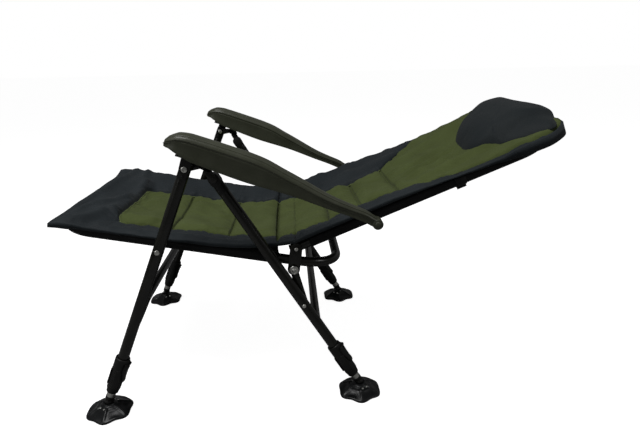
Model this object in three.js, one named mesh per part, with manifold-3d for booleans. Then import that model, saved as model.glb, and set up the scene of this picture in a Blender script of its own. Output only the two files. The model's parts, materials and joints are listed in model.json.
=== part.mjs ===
// Carp fishing chair: reclining back, folding legs, telescopic legs on swivelling mud feet.
// Lengths are millimetres and angles degrees. X runs to the sitter's left, Y to the back, Z up.

import * as THREE from 'three';
import { mergeVertices } from 'three/addons/utils/BufferGeometryUtils.js';
import Module from 'manifold-3d';

const wasm = await Module();
wasm.setup();

// Tubes
const frameTubeRadius = 11;
const legTubeRadius = 12;
const legTubeWall = 1.8;
const braceTubeRadius = 10;

// Clearances
const fit = 0.3;
const slideFit = 0.4;
const pinFit = 0.5;
const overrun = 6;

// Seat
const seatPitch = 11;
const hingeHeight = 362;
const railHalfSpan = 237;
const railDrop = 31;
const seatLength = 508;
const seatCornerRadius = 62;
const bowReach = 105;
const bowCornerRadius = 92;

// Back
const backPitch = 21.6;
const backLength = 612;
const backCornerRadius = 78;
const backTail = 14;

// Leg pivots, measured from the back hinge along the rails
const frontPivotAhead = 289.5;
const frontLegAbovePivot = 188.9;
const frontLegLean = 22.73;
const linkPivotDrop = 48;
const linkPivotBehind = 2.2;
const bracketReach = 51;
const bracketFall = 28;
const rearLegLean = 31.14;
const linkOnRearLeg = 347;

// Side plates
const hingePlateThickness = 3.3;
const hingePlateRadius = 14;
const linkThickness = 3.2;
const linkRadius = 9;
const bracketThickness = 2.7;
const bracketEyeRadius = 10;
const bracketNeckRadius = 6;
const bracketEndRadius = 11;

// Pins and rivets
const pinRadius = 4;
const rivetHeadRadius = 6;
const rivetHeadHeight = 2.6;
const linkDiscRadius = 10.5;
const linkDiscHeight = 4;
const ringRivetRadius = 7;
const spacerRadius = 6.5;
const linkNutReach = 5;

// Braces
const frontBraceEndHeight = 228;
const frontBraceRise = 42;
const frontBraceBend = 55;
const rearBraceOnLeg = 400;

// Telescopic legs
const innerLegWall = 1.5;
const innerLegTop = 248;
const clampBottom = 58;
const clampLength = 92;
const clampWall = 3.4;
const clampFlare = 0.6;
const tubeEndInClamp = 12;
const legTopMargin = 10;
const capHeight = 4.5;
const capStem = 5;

// Lock levers
const leverWidth = 12;
const leverPivotFromTop = 14;
const leverPivotOut = 18;
const leverLength = 42;
const leverThickness = 4;
const camRadius = 5;
const leverPinRadius = 2;
const leverEarThickness = 3;
const leverEarRadius = 6.5;

// Mud feet
const ballHeight = 26;
const ballRadius = 9;
const ballFit = 0.6;
const ballCapAngle = 40;
const padRadius = 52;
const padSkirt = 5;
const padShoulderRadius = 30;
const padShoulderHeight = 17;
const padCollarRadius = 14;
const padCollarHeight = 24.5;
const padLobes = 6;
const lobeDepthShare = 0.07;
const plugLength = 20;
const plugTipRadius = 8;

// Armrests
const armrestHalfWidth = 28;
const armrestWall = 3;
const armrestNose = 50;
const armrestDepth = 48;
const armrestCorner = 11;
const armrestCrown = 2.5;
const armrestOnBack = 186.5;
const hubRadius = 11.5;
const hubHalfWidth = 15;
const rackPitch = 24.4;
const rackNotches = 6;
const rackHeight = 34;
const rackNotchRadius = 5;
const rackHalfWidth = 8;
const sliderLength = 46;
const sliderHeight = 6;
const sliderLift = 21.5;
const sliderHalfWidth = 17;
const sliderEarThickness = 3;
const sliderEarRadius = 11;
const sliderPinRadius = 3;

// Covers
const slingThickness = 1.6;
const sleeveWall = 1.6;
const sleeveClearance = 0.4;
const slingSag = 34;
const slingFromSeatHinge = 36;
const slingFromSeatBend = 8;
const slingFromBackHinge = 34;
const slingFromBackBend = 6;
const sleeveJoinAngle = 110;
const sleeveSweepAngle = 300;
const mattressPastRail = 15;
const mattressPastFrontBar = 24;
const mattressPastTopBar = 49;
const borderThickness = 26;
const panelThickness = 23;
const seamDepth = 7;
const seamHalfWidth = 9;
const sideBorder = 114;
const frontBorder = 120;
const mattressRim = 3;
const mattressGap = 0.6;
const creaseSeam = 43;
const hipSeam = 154;
const thighSeam = 286;
const lumbarSeam = 90;
const waistSeam = 172;
const ribSeam = 265;
const pillowLength = 244;
const pillowPastMattress = 15;
const pillowInset = 102;
const pillowThickness = 46;
const pillowCornerCut = 62;

// Finishes
const powderCoat = { color: 0x2b2c28, roughness: 0.32, metalness: 0.6 };
const plastic = { color: 0x17181a, roughness: 0.5, metalness: 0.0 };
const armrestPlastic = { color: 0x474a41, roughness: 0.45, metalness: 0.0 };
const zinc = { color: 0xb9bab5, roughness: 0.35, metalness: 0.9 };
const navyCloth = { color: 0x1b2029, roughness: 0.75, metalness: 0.0 };
const oliveCloth = { color: 0x4b5a2f, roughness: 0.8, metalness: 0.0 };
const blackCloth = { color: 0x141518, roughness: 0.8, metalness: 0.0 };

// Facets
const tubeSides = 14;
const bentTubeHalfSides = 7;
const pinSides = 12;
const plateArcSteps = 4;
const bendSteps = 4;
const lobeSteps = 4;

// Geometry helpers

const radians = THREE.MathUtils.degToRad;
const AXIS_X = new THREE.Vector3(1, 0, 0);
const AXIS_Y = new THREE.Vector3(0, 1, 0);
const AXIS_Z = new THREE.Vector3(0, 0, 1);

// One closed shell: shared corners merged, slivers dropped, faces pointing out.
function closed(source) {
  const bare = source.index ? source.toNonIndexed() : source.clone();
  bare.deleteAttribute('normal');
  bare.deleteAttribute('uv');
  const merged = mergeVertices(bare, 1e-4);
  const position = merged.getAttribute('position');
  const index = merged.getIndex();
  const kept = [];
  const a = new THREE.Vector3();
  const b = new THREE.Vector3();
  const c = new THREE.Vector3();
  let volume = 0;
  for (let i = 0; i < index.count; i += 3) {
    const corners = [index.getX(i), index.getX(i + 1), index.getX(i + 2)];
    if (new Set(corners).size < 3) continue;
    kept.push(corners);
    a.fromBufferAttribute(position, corners[0]);
    b.fromBufferAttribute(position, corners[1]);
    c.fromBufferAttribute(position, corners[2]);
    volume += a.dot(b.cross(c));
  }
  if (volume < 0) kept.forEach((corners) => corners.reverse());
  const result = new THREE.BufferGeometry();
  result.setAttribute('position', position.clone());
  result.setIndex(kept.flat());
  return result;
}

function solid(geometry) {
  const shell = closed(geometry);
  return new wasm.Manifold(new wasm.Mesh({
    numProp: 3,
    vertProperties: new Float32Array(shell.getAttribute('position').array),
    triVerts: new Uint32Array(shell.getIndex().array),
  }));
}

function geometryOf(body) {
  const mesh = body.getMesh();
  const result = new THREE.BufferGeometry();
  result.setAttribute('position', new THREE.BufferAttribute(mesh.vertProperties, 3));
  result.setIndex(new THREE.BufferAttribute(mesh.triVerts, 1));
  return result;
}

function join(...geometries) {
  return geometryOf(geometries.map(solid).reduce((whole, piece) => whole.add(piece)));
}

function cut(base, ...tools) {
  return geometryOf(tools.map(solid).reduce((whole, tool) => whole.subtract(tool), solid(base)));
}

function moved(geometry, x, y, z) {
  return geometry.clone().translate(x, y, z);
}

// A piece drawn for the left side, mirrored for the right side.
function sided(geometry, side) {
  return side > 0 ? geometry : closed(geometry.clone().scale(-1, 1, 1));
}

// An outline drawn in the side plane, given thickness along X from x0 to x1.
function sidePlate(shape, x0, x1, curveSegments = plateArcSteps) {
  const geometry = new THREE.ExtrudeGeometry(shape, { depth: x1 - x0, bevelEnabled: false, curveSegments });
  geometry.applyMatrix4(new THREE.Matrix4().makeBasis(AXIS_Y, AXIS_Z, AXIS_X));
  return geometry.translate(x0, 0, 0);
}

// A profile of [radius, distance] pairs turned about the X axis, distance running along +X.
function turnedX(profile, segments = pinSides) {
  const points = profile.map(([radius, along]) => new THREE.Vector2(radius, along));
  return new THREE.LatheGeometry(points, segments).rotateZ(-Math.PI / 2);
}

// The same about the Z axis.
function turnedZ(profile, segments = tubeSides) {
  const points = profile.map(([radius, along]) => new THREE.Vector2(radius, along));
  return new THREE.LatheGeometry(points, segments).rotateX(Math.PI / 2);
}

function rodX(radius, x0, x1, segments = pinSides) {
  return turnedX([[0, x0], [radius, x0], [radius, x1], [0, x1]], segments);
}

function rodZ(radius, z0, z1, segments = tubeSides) {
  return turnedZ([[0, z0], [radius, z0], [radius, z1], [0, z1]], segments);
}

function pipeZ(outer, inner, z0, z1, segments = tubeSides) {
  return turnedZ([[inner, z0], [outer, z0], [outer, z1], [inner, z1], [inner, z0]], segments);
}

function circle(radius, y = 0, z = 0) {
  const shape = new THREE.Shape();
  shape.absarc(y, z, radius, 0, 2 * Math.PI, false);
  return shape;
}

// A round-ended plate outline between two centres.
function capsule(y0, z0, y1, z1, radius) {
  const heading = Math.atan2(z1 - z0, y1 - y0);
  const shape = new THREE.Shape();
  shape.absarc(y0, z0, radius, heading + Math.PI / 2, heading + 1.5 * Math.PI, false);
  shape.absarc(y1, z1, radius, heading - Math.PI / 2, heading + Math.PI / 2, false);
  shape.closePath();
  return shape;
}

// A path through corner points, each inner corner rounded by an arc of its own radius.
function roundedPath(corners, radii) {
  const path = new THREE.CurvePath();
  let from = corners[0];
  for (let i = 1; i < corners.length - 1; i += 1) {
    const before = corners[i].clone().sub(corners[i - 1]).normalize();
    const after = corners[i + 1].clone().sub(corners[i]).normalize();
    const setback = radii[i - 1] * Math.tan(before.angleTo(after) / 2);
    const start = corners[i].clone().addScaledVector(before, -setback);
    const end = corners[i].clone().addScaledVector(after, setback);
    path.add(new THREE.LineCurve3(from, start));
    path.add(new THREE.QuadraticBezierCurve3(start, corners[i].clone(), end));
    from = end;
  }
  path.add(new THREE.LineCurve3(from, corners[corners.length - 1]));
  return path;
}

// A tube along a path of lines and bends: one ring at each end of a line, bendSteps across a bend.
class BendCurve extends THREE.Curve {
  constructor(path) {
    super();
    this.knots = [];
    path.curves.forEach((curve) => {
      const steps = curve instanceof THREE.LineCurve3 ? 1 : bendSteps;
      for (let i = this.knots.length ? 1 : 0; i <= steps; i += 1) this.knots.push([curve, i / steps]);
    });
  }

  get steps() {
    return this.knots.length - 1;
  }

  getPoint(t, target = new THREE.Vector3()) {
    const at = Math.min(t * this.steps, this.steps);
    const low = Math.min(Math.floor(at), this.steps - 1);
    const [curveA, a] = this.knots[low];
    const [curveB, b] = this.knots[low + 1];
    return target.lerpVectors(curveA.getPoint(a), curveB.getPoint(b), at - low);
  }

  getPointAt(t, target) {
    return this.getPoint(t, target);
  }

  getTangentAt(t) {
    const [curve, u] = this.knots[Math.round(t * this.steps)];
    return curve.getTangent(u);
  }
}

function bentTube(corners, radii, radius, segments = bentTubeHalfSides) {
  const curve = new BendCurve(roundedPath(corners, radii));
  return new THREE.ExtrudeGeometry(circle(radius), {
    steps: curve.steps,
    extrudePath: curve,
    curveSegments: segments,
    bevelEnabled: false,
  });
}

// Rings of points joined into one closed skin, with a strip of triangles across each end.
function skin(rings) {
  const points = rings.flat();
  const count = rings[0].length;
  const index = [];
  for (let r = 0; r < rings.length - 1; r += 1) {
    for (let i = 0; i < count; i += 1) {
      const next = (i + 1) % count;
      const a = r * count + i;
      const b = r * count + next;
      index.push(a, b, b + count, a, b + count, a + count);
    }
  }
  const last = (rings.length - 1) * count;
  for (let i = 0; i < count / 2 - 1; i += 1) {
    const j = count - 1 - i;
    index.push(i, j, j - 1, i, j - 1, i + 1);
    index.push(last + i, last + j - 1, last + j, last + i, last + i + 1, last + j - 1);
  }
  const geometry = new THREE.BufferGeometry();
  geometry.setAttribute('position', new THREE.Float32BufferAttribute(points.flatMap((p) => p.toArray()), 3));
  geometry.setIndex(index);
  return closed(geometry);
}

// Straight runs between [position, value] pairs.
function along(pairs, at) {
  const last = pairs.length - 1;
  if (at <= pairs[0][0]) return pairs[0][1];
  if (at >= pairs[last][0]) return pairs[last][1];
  const i = pairs.findIndex(([position]) => position >= at);
  const [p0, v0] = pairs[i - 1];
  const [p1, v1] = pairs[i];
  return v0 + (v1 - v0) * (at - p0) / (p1 - p0);
}

// The scene graph

const chair = new THREE.Group();

function joint(parent, y, z, tilt = 0, x = 0) {
  const group = new THREE.Group();
  group.position.set(x, y, z);
  group.rotation.x = radians(tilt);
  parent.add(group);
  return group;
}

function piece(parent, name, geometry, finish) {
  const mesh = new THREE.Mesh(closed(geometry), new THREE.MeshStandardMaterial(finish));
  mesh.geometry.computeVertexNormals();
  mesh.name = name;
  parent.add(mesh);
  return mesh;
}

const sides = [['left', 1], ['right', -1]];

// Where the side pieces lie across the chair

const railFace = railHalfSpan + frameTubeRadius;
const hingePlateInner = railFace + fit;
const hingePlateOuter = hingePlateInner + hingePlateThickness;
const linkInner = hingePlateOuter + slideFit;
const linkOuter = linkInner + linkThickness;
const rearLegX = linkOuter + pinFit + legTubeRadius;
const rearLegOuter = rearLegX + legTubeRadius;
const bracketInner = rearLegOuter + fit;
const bracketOuter = bracketInner + bracketThickness;
const frontLegX = bracketOuter + fit + legTubeRadius;
const frontLegOuter = frontLegX + legTubeRadius;
const legBore = legTubeRadius - legTubeWall;

// Pivot places in the side plane, measured from the floor below the back hinge

function offset(from, y, z, tilt = 0) {
  return new THREE.Vector2(y, z).rotateAround(new THREE.Vector2(), radians(tilt)).add(from);
}

const backHinge = new THREE.Vector2(0, hingeHeight);
const frontPivot = offset(backHinge, -frontPivotAhead, -railDrop, -seatPitch);
const linkPivot = offset(backHinge, linkPivotBehind, -linkPivotDrop, -seatPitch);
const topPivot = offset(frontPivot, 0, frontLegAbovePivot, -frontLegLean);
const rearLegTop = offset(topPivot, bracketReach, -bracketFall);
const rearLinkPivot = offset(rearLegTop, 0, -linkOnRearLeg, rearLegLean);
const armrestPivot = offset(backHinge, armrestOnBack, 0, backPitch);
const armrestLine = armrestPivot.clone().sub(topPivot);
const armrestPitch = THREE.MathUtils.radToDeg(Math.atan2(armrestLine.y, armrestLine.x));
const linkLine = rearLinkPivot.clone().sub(linkPivot);
const linkPitch = THREE.MathUtils.radToDeg(Math.atan2(linkLine.y, linkLine.x));
const frontLegBelowPivot = frontPivot.y / Math.cos(radians(frontLegLean));
const rearLegLength = rearLegTop.y / Math.cos(radians(rearLegLean));

// The seat hangs from the back hinge: its -Y runs forward along the rails.

const seat = joint(chair, 0, hingeHeight, -seatPitch);

function seatFrame() {
  const tube = bentTube(
    [
      new THREE.Vector3(railHalfSpan, 0, -railDrop),
      new THREE.Vector3(railHalfSpan, -seatLength, -railDrop),
      new THREE.Vector3(-railHalfSpan, -seatLength, -railDrop),
      new THREE.Vector3(-railHalfSpan, 0, -railDrop),
    ],
    [seatCornerRadius, seatCornerRadius],
    frameTubeRadius,
  );
  piece(seat, 'seat_frame', tube, powderCoat);
}

function rearBow() {
  const tube = bentTube(
    [
      new THREE.Vector3(railHalfSpan, fit, -railDrop),
      new THREE.Vector3(railHalfSpan, bowReach, -railDrop),
      new THREE.Vector3(-railHalfSpan, bowReach, -railDrop),
      new THREE.Vector3(-railHalfSpan, fit, -railDrop),
    ],
    [bowCornerRadius, bowCornerRadius],
    frameTubeRadius,
  );
  piece(seat, 'rear_bow', tube, powderCoat);
}

function hingeBrackets() {
  const plate = sidePlate(
    capsule(0, 0, linkPivotBehind, -linkPivotDrop, hingePlateRadius),
    hingePlateInner,
    hingePlateOuter,
  );
  const holeRadius = pinRadius + slideFit;
  const bored = cut(
    plate,
    rodX(holeRadius, hingePlateInner - overrun, hingePlateOuter + overrun),
    moved(
      rodX(holeRadius, hingePlateInner - overrun, hingePlateOuter + overrun),
      0, linkPivotBehind, -linkPivotDrop,
    ),
  );
  sides.forEach(([name, side]) => piece(seat, `hinge_bracket_${name}`, sided(bored, side), powderCoat));
}

// A flat disc with a raised ring and a domed middle, on a bolt that carries the link.
function linkDiscs() {
  const face = linkOuter + fit;
  const top = face + linkDiscHeight;
  const disc = turnedX([
    [0, hingePlateInner - linkNutReach],
    [rivetHeadRadius, hingePlateInner - linkNutReach],
    [rivetHeadRadius, hingePlateInner - fit],
    [pinRadius, hingePlateInner - fit],
    [pinRadius, face],
    [linkDiscRadius, face],
    [linkDiscRadius, top - linkDiscHeight / 3],
    [linkDiscRadius - linkDiscHeight / 3, top],
    [linkDiscRadius * 0.72, top],
    [linkDiscRadius * 0.66, top - linkDiscHeight / 4],
    [linkDiscRadius * 0.42, top - linkDiscHeight / 4],
    [linkDiscRadius * 0.2, top + linkDiscHeight / 4],
    [0, top + linkDiscHeight / 3],
  ]);
  sides.forEach(([name, side]) => {
    piece(seat, `link_disc_${name}`, sided(moved(disc, 0, linkPivotBehind, -linkPivotDrop), side), zinc);
  });
}

// The front leg bolt: a spacer against the rail, a shank through the leg and a domed head.
function frontPivots() {
  const headFace = frontLegOuter + fit;
  const bolt = turnedX([
    [0, railFace + fit],
    [spacerRadius, railFace + fit],
    [spacerRadius, bracketOuter],
    [pinRadius, bracketOuter],
    [pinRadius, headFace],
    [rivetHeadRadius, headFace],
    [rivetHeadRadius * 0.9, headFace + rivetHeadHeight * 0.5],
    [rivetHeadRadius * 0.5, headFace + rivetHeadHeight],
    [0, headFace + rivetHeadHeight],
  ]);
  sides.forEach(([name, side]) => {
    piece(seat, `front_pivot_${name}`, sided(moved(bolt, 0, -frontPivotAhead, -railDrop), side), zinc);
  });
}

// Fabric slings: a sheet that sags between two rails, sewn into a sleeve round each.

const sleeveInner = frameTubeRadius + sleeveClearance;
const sleeveOuter = sleeveInner + sleeveWall;
const slingSteps = 5;
const seatBend = seatLength - seatCornerRadius;
const backBend = backLength - backCornerRadius;
const seatSleeveEnds = [slingFromSeatHinge, seatBend - slingFromSeatBend];
const backSleeveEnds = [slingFromBackHinge, backBend - slingFromBackBend];

// Height of the sling's upper face over the rail's centre line, at x from the middle.
function slingHeight(x) {
  const share = Math.min(1, Math.abs(x) / railHalfSpan);
  return sleeveOuter - slingSag * (1 - share * share);
}

function slingSection() {
  const shape = new THREE.Shape();
  const sheetStart = railHalfSpan - sleeveOuter * Math.sin(radians(30));
  const top = [];
  for (let i = -slingSteps; i <= slingSteps; i += 1) {
    const x = sheetStart * i / slingSteps;
    top.push([x, slingHeight(x)]);
  }
  const sleeve = (centre, from, to) => {
    const points = [];
    const steps = tubeSides - 4;
    for (let i = 0; i <= steps; i += 1) {
      const angle = radians(from + (to - from) * i / steps);
      points.push([centre + sleeveOuter * Math.cos(angle), sleeveOuter * Math.sin(angle)]);
    }
    return points;
  };
  const outline = [
    ...top,
    ...sleeve(railHalfSpan, sleeveJoinAngle, sleeveJoinAngle - sleeveSweepAngle),
    ...top.slice(1, -1).reverse().map(([x, z]) => [x, z - slingThickness]),
    ...sleeve(-railHalfSpan, 180 - sleeveJoinAngle + sleeveSweepAngle, 180 - sleeveJoinAngle),
  ];
  outline.forEach(([x, z], i) => (i ? shape.lineTo(x, z) : shape.moveTo(x, z)));
  shape.closePath();
  return shape;
}

function sling(start, end) {
  const filled = new THREE.ExtrudeGeometry(slingSection(), { depth: end - start, bevelEnabled: false });
  const bore = rodZ(sleeveInner / Math.cos(Math.PI / tubeSides), -overrun, end - start + overrun);
  const sleeved = cut(filled, moved(bore, railHalfSpan, 0, 0), moved(bore, -railHalfSpan, 0, 0));
  return sleeved.rotateX(Math.PI / 2).translate(0, end, 0);
}

function seatSling() {
  const sheet = moved(sling(-seatSleeveEnds[1], -seatSleeveEnds[0]), 0, 0, -railDrop);
  const notches = sides.map(([, side]) => sided(
    moved(rodX(spacerRadius + slideFit, railHalfSpan, frontLegX), 0, -frontPivotAhead, -railDrop),
    side,
  ));
  piece(seat, 'seat_sling', cut(sheet, ...notches), blackCloth);
}

// Quilted mattresses: borders ride on the rails, the sewn panel between them sags with the sling.

const creaseShear = Math.tan(radians((seatPitch + backPitch) / 2));
const innerShares = [0, 0.35, 0.7, 0.93];
const outerShares = [0, 0.09, 0.35, 0.65, 0.88, 1];
const hingeLift = 32;
const hingeLiftReach = 190;
const mattressEdge = 30;
const sagBeforeSeatBend = 14;
const seatSagEase = 36;
const backSagEase = 104;
const mattressSeat = sleeveOuter + fit;
const mattressHalfWidth = railHalfSpan + mattressPastRail;
const panelHalfWidth = mattressHalfWidth - sideBorder;
const seatMattressLength = seatLength + mattressPastFrontBar;
const backMattressLength = backLength + mattressPastTopBar;
const seatSagFade = [seatBend - sagBeforeSeatBend - seatSagEase, seatBend - sagBeforeSeatBend];
const backSagFade = [backBend - backSagEase, backBend];
const seatSeams = [creaseSeam, hipSeam, thighSeam, seatMattressLength - frontBorder];
const backSeams = [lumbarSeam, waistSeam, ribSeam];

const acrossMattress = [
  ...innerShares.map((share) => share * panelHalfWidth),
  ...outerShares.map((share) => panelHalfWidth + share * (mattressHalfWidth - panelHalfWidth)),
];
const acrossBoth = [...acrossMattress.slice(1).reverse().map((x) => -x), ...acrossMattress];

// Height over the rails that a mattress rests at: in the sling's sag, or flat on the end tube.
function restHeight(x, y, fade) {
  const sag = along([[fade[0], 1], [fade[1], 0]], y);
  const sagged = slingHeight(Math.min(Math.abs(x), railHalfSpan)) + mattressGap;
  return mattressSeat + (sagged - mattressSeat) * sag;
}

// Stations along a mattress: where the sag ends, three round each seam, one on each crown, rounded ends.
function stationsFor(start, end, seams, fade) {
  const rounding = [0, 0.12, 0.45, 1].map((share) => share * mattressEdge);
  const stations = [start, ...fade, ...rounding.map((r) => end - r)];
  seams.forEach((seam, i) => {
    stations.push(seam - seamHalfWidth, seam, seam + seamHalfWidth);
    if (i) stations.push((seam + seams[i - 1]) / 2);
  });
  return [...new Set(stations)].sort((a, b) => a - b);
}

function quilt({ start, end, seams, fade, lift, from = start, to = end }) {
  const seamAt = (y) => seams.some((seam) => Math.abs(seam - y) < seamHalfWidth / 2);
  const crownAt = (y) => seams.every((seam) => Math.abs(seam - y) > seamHalfWidth * 1.5);
  const thicknessAt = (x, y) => {
    const panel = Math.abs(x) < panelHalfWidth - fit;
    const seamLine = Math.abs(Math.abs(x) - panelHalfWidth) < fit;
    let thickness = panel ? panelThickness : borderThickness;
    if (crownAt(y)) thickness += seamDepth * 0.4;
    if (seamLine) thickness -= seamDepth;
    if (seamAt(y)) thickness -= panel || seamLine ? seamDepth : seamDepth * 0.4;
    return thickness;
  };
  const roundAt = (distance) => {
    const share = Math.min(1, Math.max(0, distance) / mattressEdge);
    return Math.sqrt(1 - (1 - share) ** 2);
  };
  const stations = stationsFor(start, end, seams, fade).filter((y) => y > from && y < to);
  return [from, ...stations, to].map((y) => {
    const shear = along([[start, creaseShear], [seams[0] - seamHalfWidth, 0]], y);
    const ring = [];
    const faces = acrossBoth.map((x) => {
      const full = thicknessAt(x, y);
      const round = Math.min(roundAt(mattressHalfWidth - Math.abs(x)), roundAt(end - y));
      const thickness = mattressRim + (full - mattressRim) * round;
      const bottom = restHeight(x, y, fade) + lift(y) + (full - thickness) * 0.4;
      return [x, bottom, bottom + thickness];
    });
    faces.forEach(([x, bottom]) => ring.push([x, y, bottom, shear]));
    [...faces].reverse().forEach(([x, , top]) => ring.push([x, y, top, shear]));
    return ring;
  });
}

function seatMattress() {
  const rings = quilt({
    start: mattressGap,
    end: seatMattressLength,
    seams: seatSeams,
    fade: seatSagFade,
    lift: (y) => hingeLift * Math.max(0, 1 - y / hingeLiftReach) ** 2,
  }).map((ring) => ring.map(([x, y, z, shear]) => {
    const height = z - railDrop;
    return new THREE.Vector3(x, -(y + shear * height), height);
  }));
  piece(seat, 'seat_mattress', skin(rings), oliveCloth);
}

// Front legs fold about the front pivots: local Z runs up the leg.

const pivotY = -frontPivotAhead;
const frontLegs = joint(seat, pivotY, -railDrop, seatPitch - frontLegLean);

function tubeLeg(length, x, topZ, holes) {
  const tube = pipeZ(legTubeRadius, legBore, topZ - length, topZ);
  const drills = holes.map((z) => moved(
    rodX(pinRadius + slideFit, -legTubeRadius - overrun, legTubeRadius + overrun),
    0, 0, z,
  ));
  return moved(cut(tube, ...drills), x, 0, 0);
}

const frontTubeTop = frontLegAbovePivot + legTopMargin;

function frontLegTubes() {
  const bottom = clampBottom + tubeEndInClamp - frontLegBelowPivot;
  const tube = tubeLeg(frontTubeTop - bottom, frontLegX, frontTubeTop, [0, frontLegAbovePivot]);
  sides.forEach(([name, side]) => {
    piece(frontLegs, `front_leg_${name}`, sided(tube, side), powderCoat);
    const cap = moved(legCap(frontTubeTop), frontLegX, 0, 0);
    piece(frontLegs, `front_leg_cap_${name}`, sided(cap, side), plastic);
  });
}

// A plug with a domed head in the open top of a leg tube.
function legCap(top) {
  const stem = legBore - fit;
  const head = legTubeRadius;
  return turnedZ([
    [0, top - capStem],
    [stem, top - capStem],
    [stem, top + fit],
    [head, top + fit],
    [head, top + capHeight * 0.4],
    [head * 0.72, top + capHeight * 0.85],
    [0, top + capHeight],
  ]);
}

// A U-shaped brace: its ends butt against the legs low down, its middle is bowed upwards.
function frontBrace() {
  const end = frontLegX - legTubeRadius - fit;
  const low = frontBraceEndHeight - frontLegBelowPivot;
  const high = low + frontBraceRise;
  const shoulder = end - frontBraceBend;
  const tube = bentTube(
    [
      new THREE.Vector3(end, 0, low),
      new THREE.Vector3(end - frontBraceBend / 3, 0, low),
      new THREE.Vector3(shoulder, 0, high),
      new THREE.Vector3(-shoulder, 0, high),
      new THREE.Vector3(frontBraceBend / 3 - end, 0, low),
      new THREE.Vector3(-end, 0, low),
    ],
    [frontBraceBend / 3, frontBraceBend / 3, frontBraceBend / 3, frontBraceBend / 3],
    braceTubeRadius,
  );
  piece(frontLegs, 'front_brace', tube, powderCoat);
}

// Clamps, inner legs, lock levers, balls and mud feet, the same on all four legs.

const innerLegRadius = legBore - slideFit;
const boreFacet = 1 / Math.cos(Math.PI / tubeSides);
const sleeveTopRadius = (legTubeRadius + fit) * boreFacet + clampWall;

// A moulded sleeve: a lip round the inner leg, a socket round the outer tube, ears for the lever.
function legClamp() {
  const top = clampBottom + clampLength;
  const shoulder = clampBottom + tubeEndInClamp - fit;
  const lip = innerLegRadius + slideFit;
  const body = turnedZ([
    [lip + clampWall * 0.6, clampBottom],
    [lip + clampWall, clampBottom + clampWall],
    [sleeveTopRadius - clampFlare, shoulder],
    [sleeveTopRadius - clampFlare, top - 2 * leverPivotFromTop],
    [sleeveTopRadius, top - 1.6 * leverPivotFromTop],
    [sleeveTopRadius, top - clampWall],
    [sleeveTopRadius - clampFlare, top],
    [0, top],
    [0, clampBottom],
    [lip + clampWall * 0.6, clampBottom],
  ].reverse());
  const pivotZ = top - leverPivotFromTop;
  const earInner = leverWidth / 2 + fit;
  const ears = [1, -1].map((side) => sided(
    sidePlate(capsule(legTubeRadius, pivotZ - leverEarRadius, leverPivotOut, pivotZ, leverEarRadius),
      earInner, earInner + leverEarThickness),
    side,
  ));
  const pin = moved(rodX(leverPinRadius, -earInner - fit, earInner + fit, 8), 0, leverPivotOut, pivotZ);
  const camSlot = moved(rodX(camRadius + slideFit, -earInner, earInner), 0, leverPivotOut, pivotZ);
  const socket = rodZ((legTubeRadius + fit) * boreFacet, shoulder, top + overrun);
  const bore = rodZ(lip * boreFacet, clampBottom - overrun, shoulder + overrun);
  const shell = cut(join(body, ...ears), camSlot, socket, bore);
  return join(shell, pin);
}

// An over-centre lever: a round cam on the pin and a handle that lies along the sleeve.
function lockLever() {
  const shape = new THREE.Shape();
  const inner = sleeveTopRadius + fit - leverPivotOut;
  const outer = inner + leverThickness;
  const meets = (y) => Math.atan2(-Math.sqrt(camRadius ** 2 - y ** 2), y);
  shape.moveTo(inner, -leverLength);
  shape.absarc(0, 0, camRadius, meets(inner), meets(outer), true);
  shape.lineTo(outer, -leverLength * 0.3);
  shape.quadraticCurveTo(outer + leverThickness * 0.7, -leverLength * 0.8, outer, -leverLength);
  shape.closePath();
  const hole = new THREE.Path();
  hole.absarc(0, 0, leverPinRadius + slideFit, 0, 2 * Math.PI, false);
  shape.holes.push(hole);
  return sidePlate(shape, -leverWidth / 2, leverWidth / 2, plateArcSteps);
}

// The inner leg with its end plug, whose hollow tip sits over the ball.
function innerLeg(ballAlong) {
  const seatRadius = ballRadius + ballFit;
  const arc = [];
  for (let i = 0; i <= 3; i += 1) {
    const angle = radians(ballCapAngle * i / 3);
    arc.push([seatRadius * Math.sin(angle), ballAlong + seatRadius * Math.cos(angle)]);
  }
  const tip = arc[arc.length - 1][1];
  const plugTop = ballAlong + plugLength;
  return turnedZ([
    ...arc,
    [plugTipRadius, tip],
    [innerLegRadius, tip + clampWall],
    [innerLegRadius, innerLegTop],
    [innerLegRadius - innerLegWall, innerLegTop],
    [innerLegRadius - innerLegWall, plugTop],
    [0, plugTop],
  ]);
}

// A mud foot: a lobed cone with a flat sole and a round socket for the ball.
function mudFoot() {
  const steps = padLobes * lobeSteps;
  const profile = [
    [padRadius, 0, 1],
    [padRadius, padSkirt, 1],
    [padRadius * 0.82, padSkirt + (padShoulderHeight - padSkirt) * 0.5, 0.8],
    [padShoulderRadius, padShoulderHeight, 0.5],
    [padCollarRadius + padSkirt, padShoulderHeight + fit * 4, 0.15],
    [padCollarRadius, padShoulderHeight + fit * 8, 0],
    [padCollarRadius, padCollarHeight, 0],
  ];
  const rings = profile.map(([radius, z, lobe]) => {
    const ring = [];
    for (let i = 0; i < steps; i += 1) {
      const angle = 2 * Math.PI * i / steps;
      const swell = 1 - lobeDepthShare * lobe * (1 - Math.cos(padLobes * angle)) / 2;
      ring.push(new THREE.Vector3(
        radius * swell * Math.cos(angle),
        radius * swell * Math.sin(angle),
        z - ballHeight,
      ));
    }
    return ring;
  });
  const body = fanned(rings);
  const socketRadius = ballRadius + ballFit;
  const socketFacet = socketRadius / Math.cos(Math.PI / pinSides);
  const socket = new THREE.SphereGeometry(socketFacet, pinSides + 4, pinSides);
  return cut(body, socket.rotateX(Math.PI / 2));
}

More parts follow.
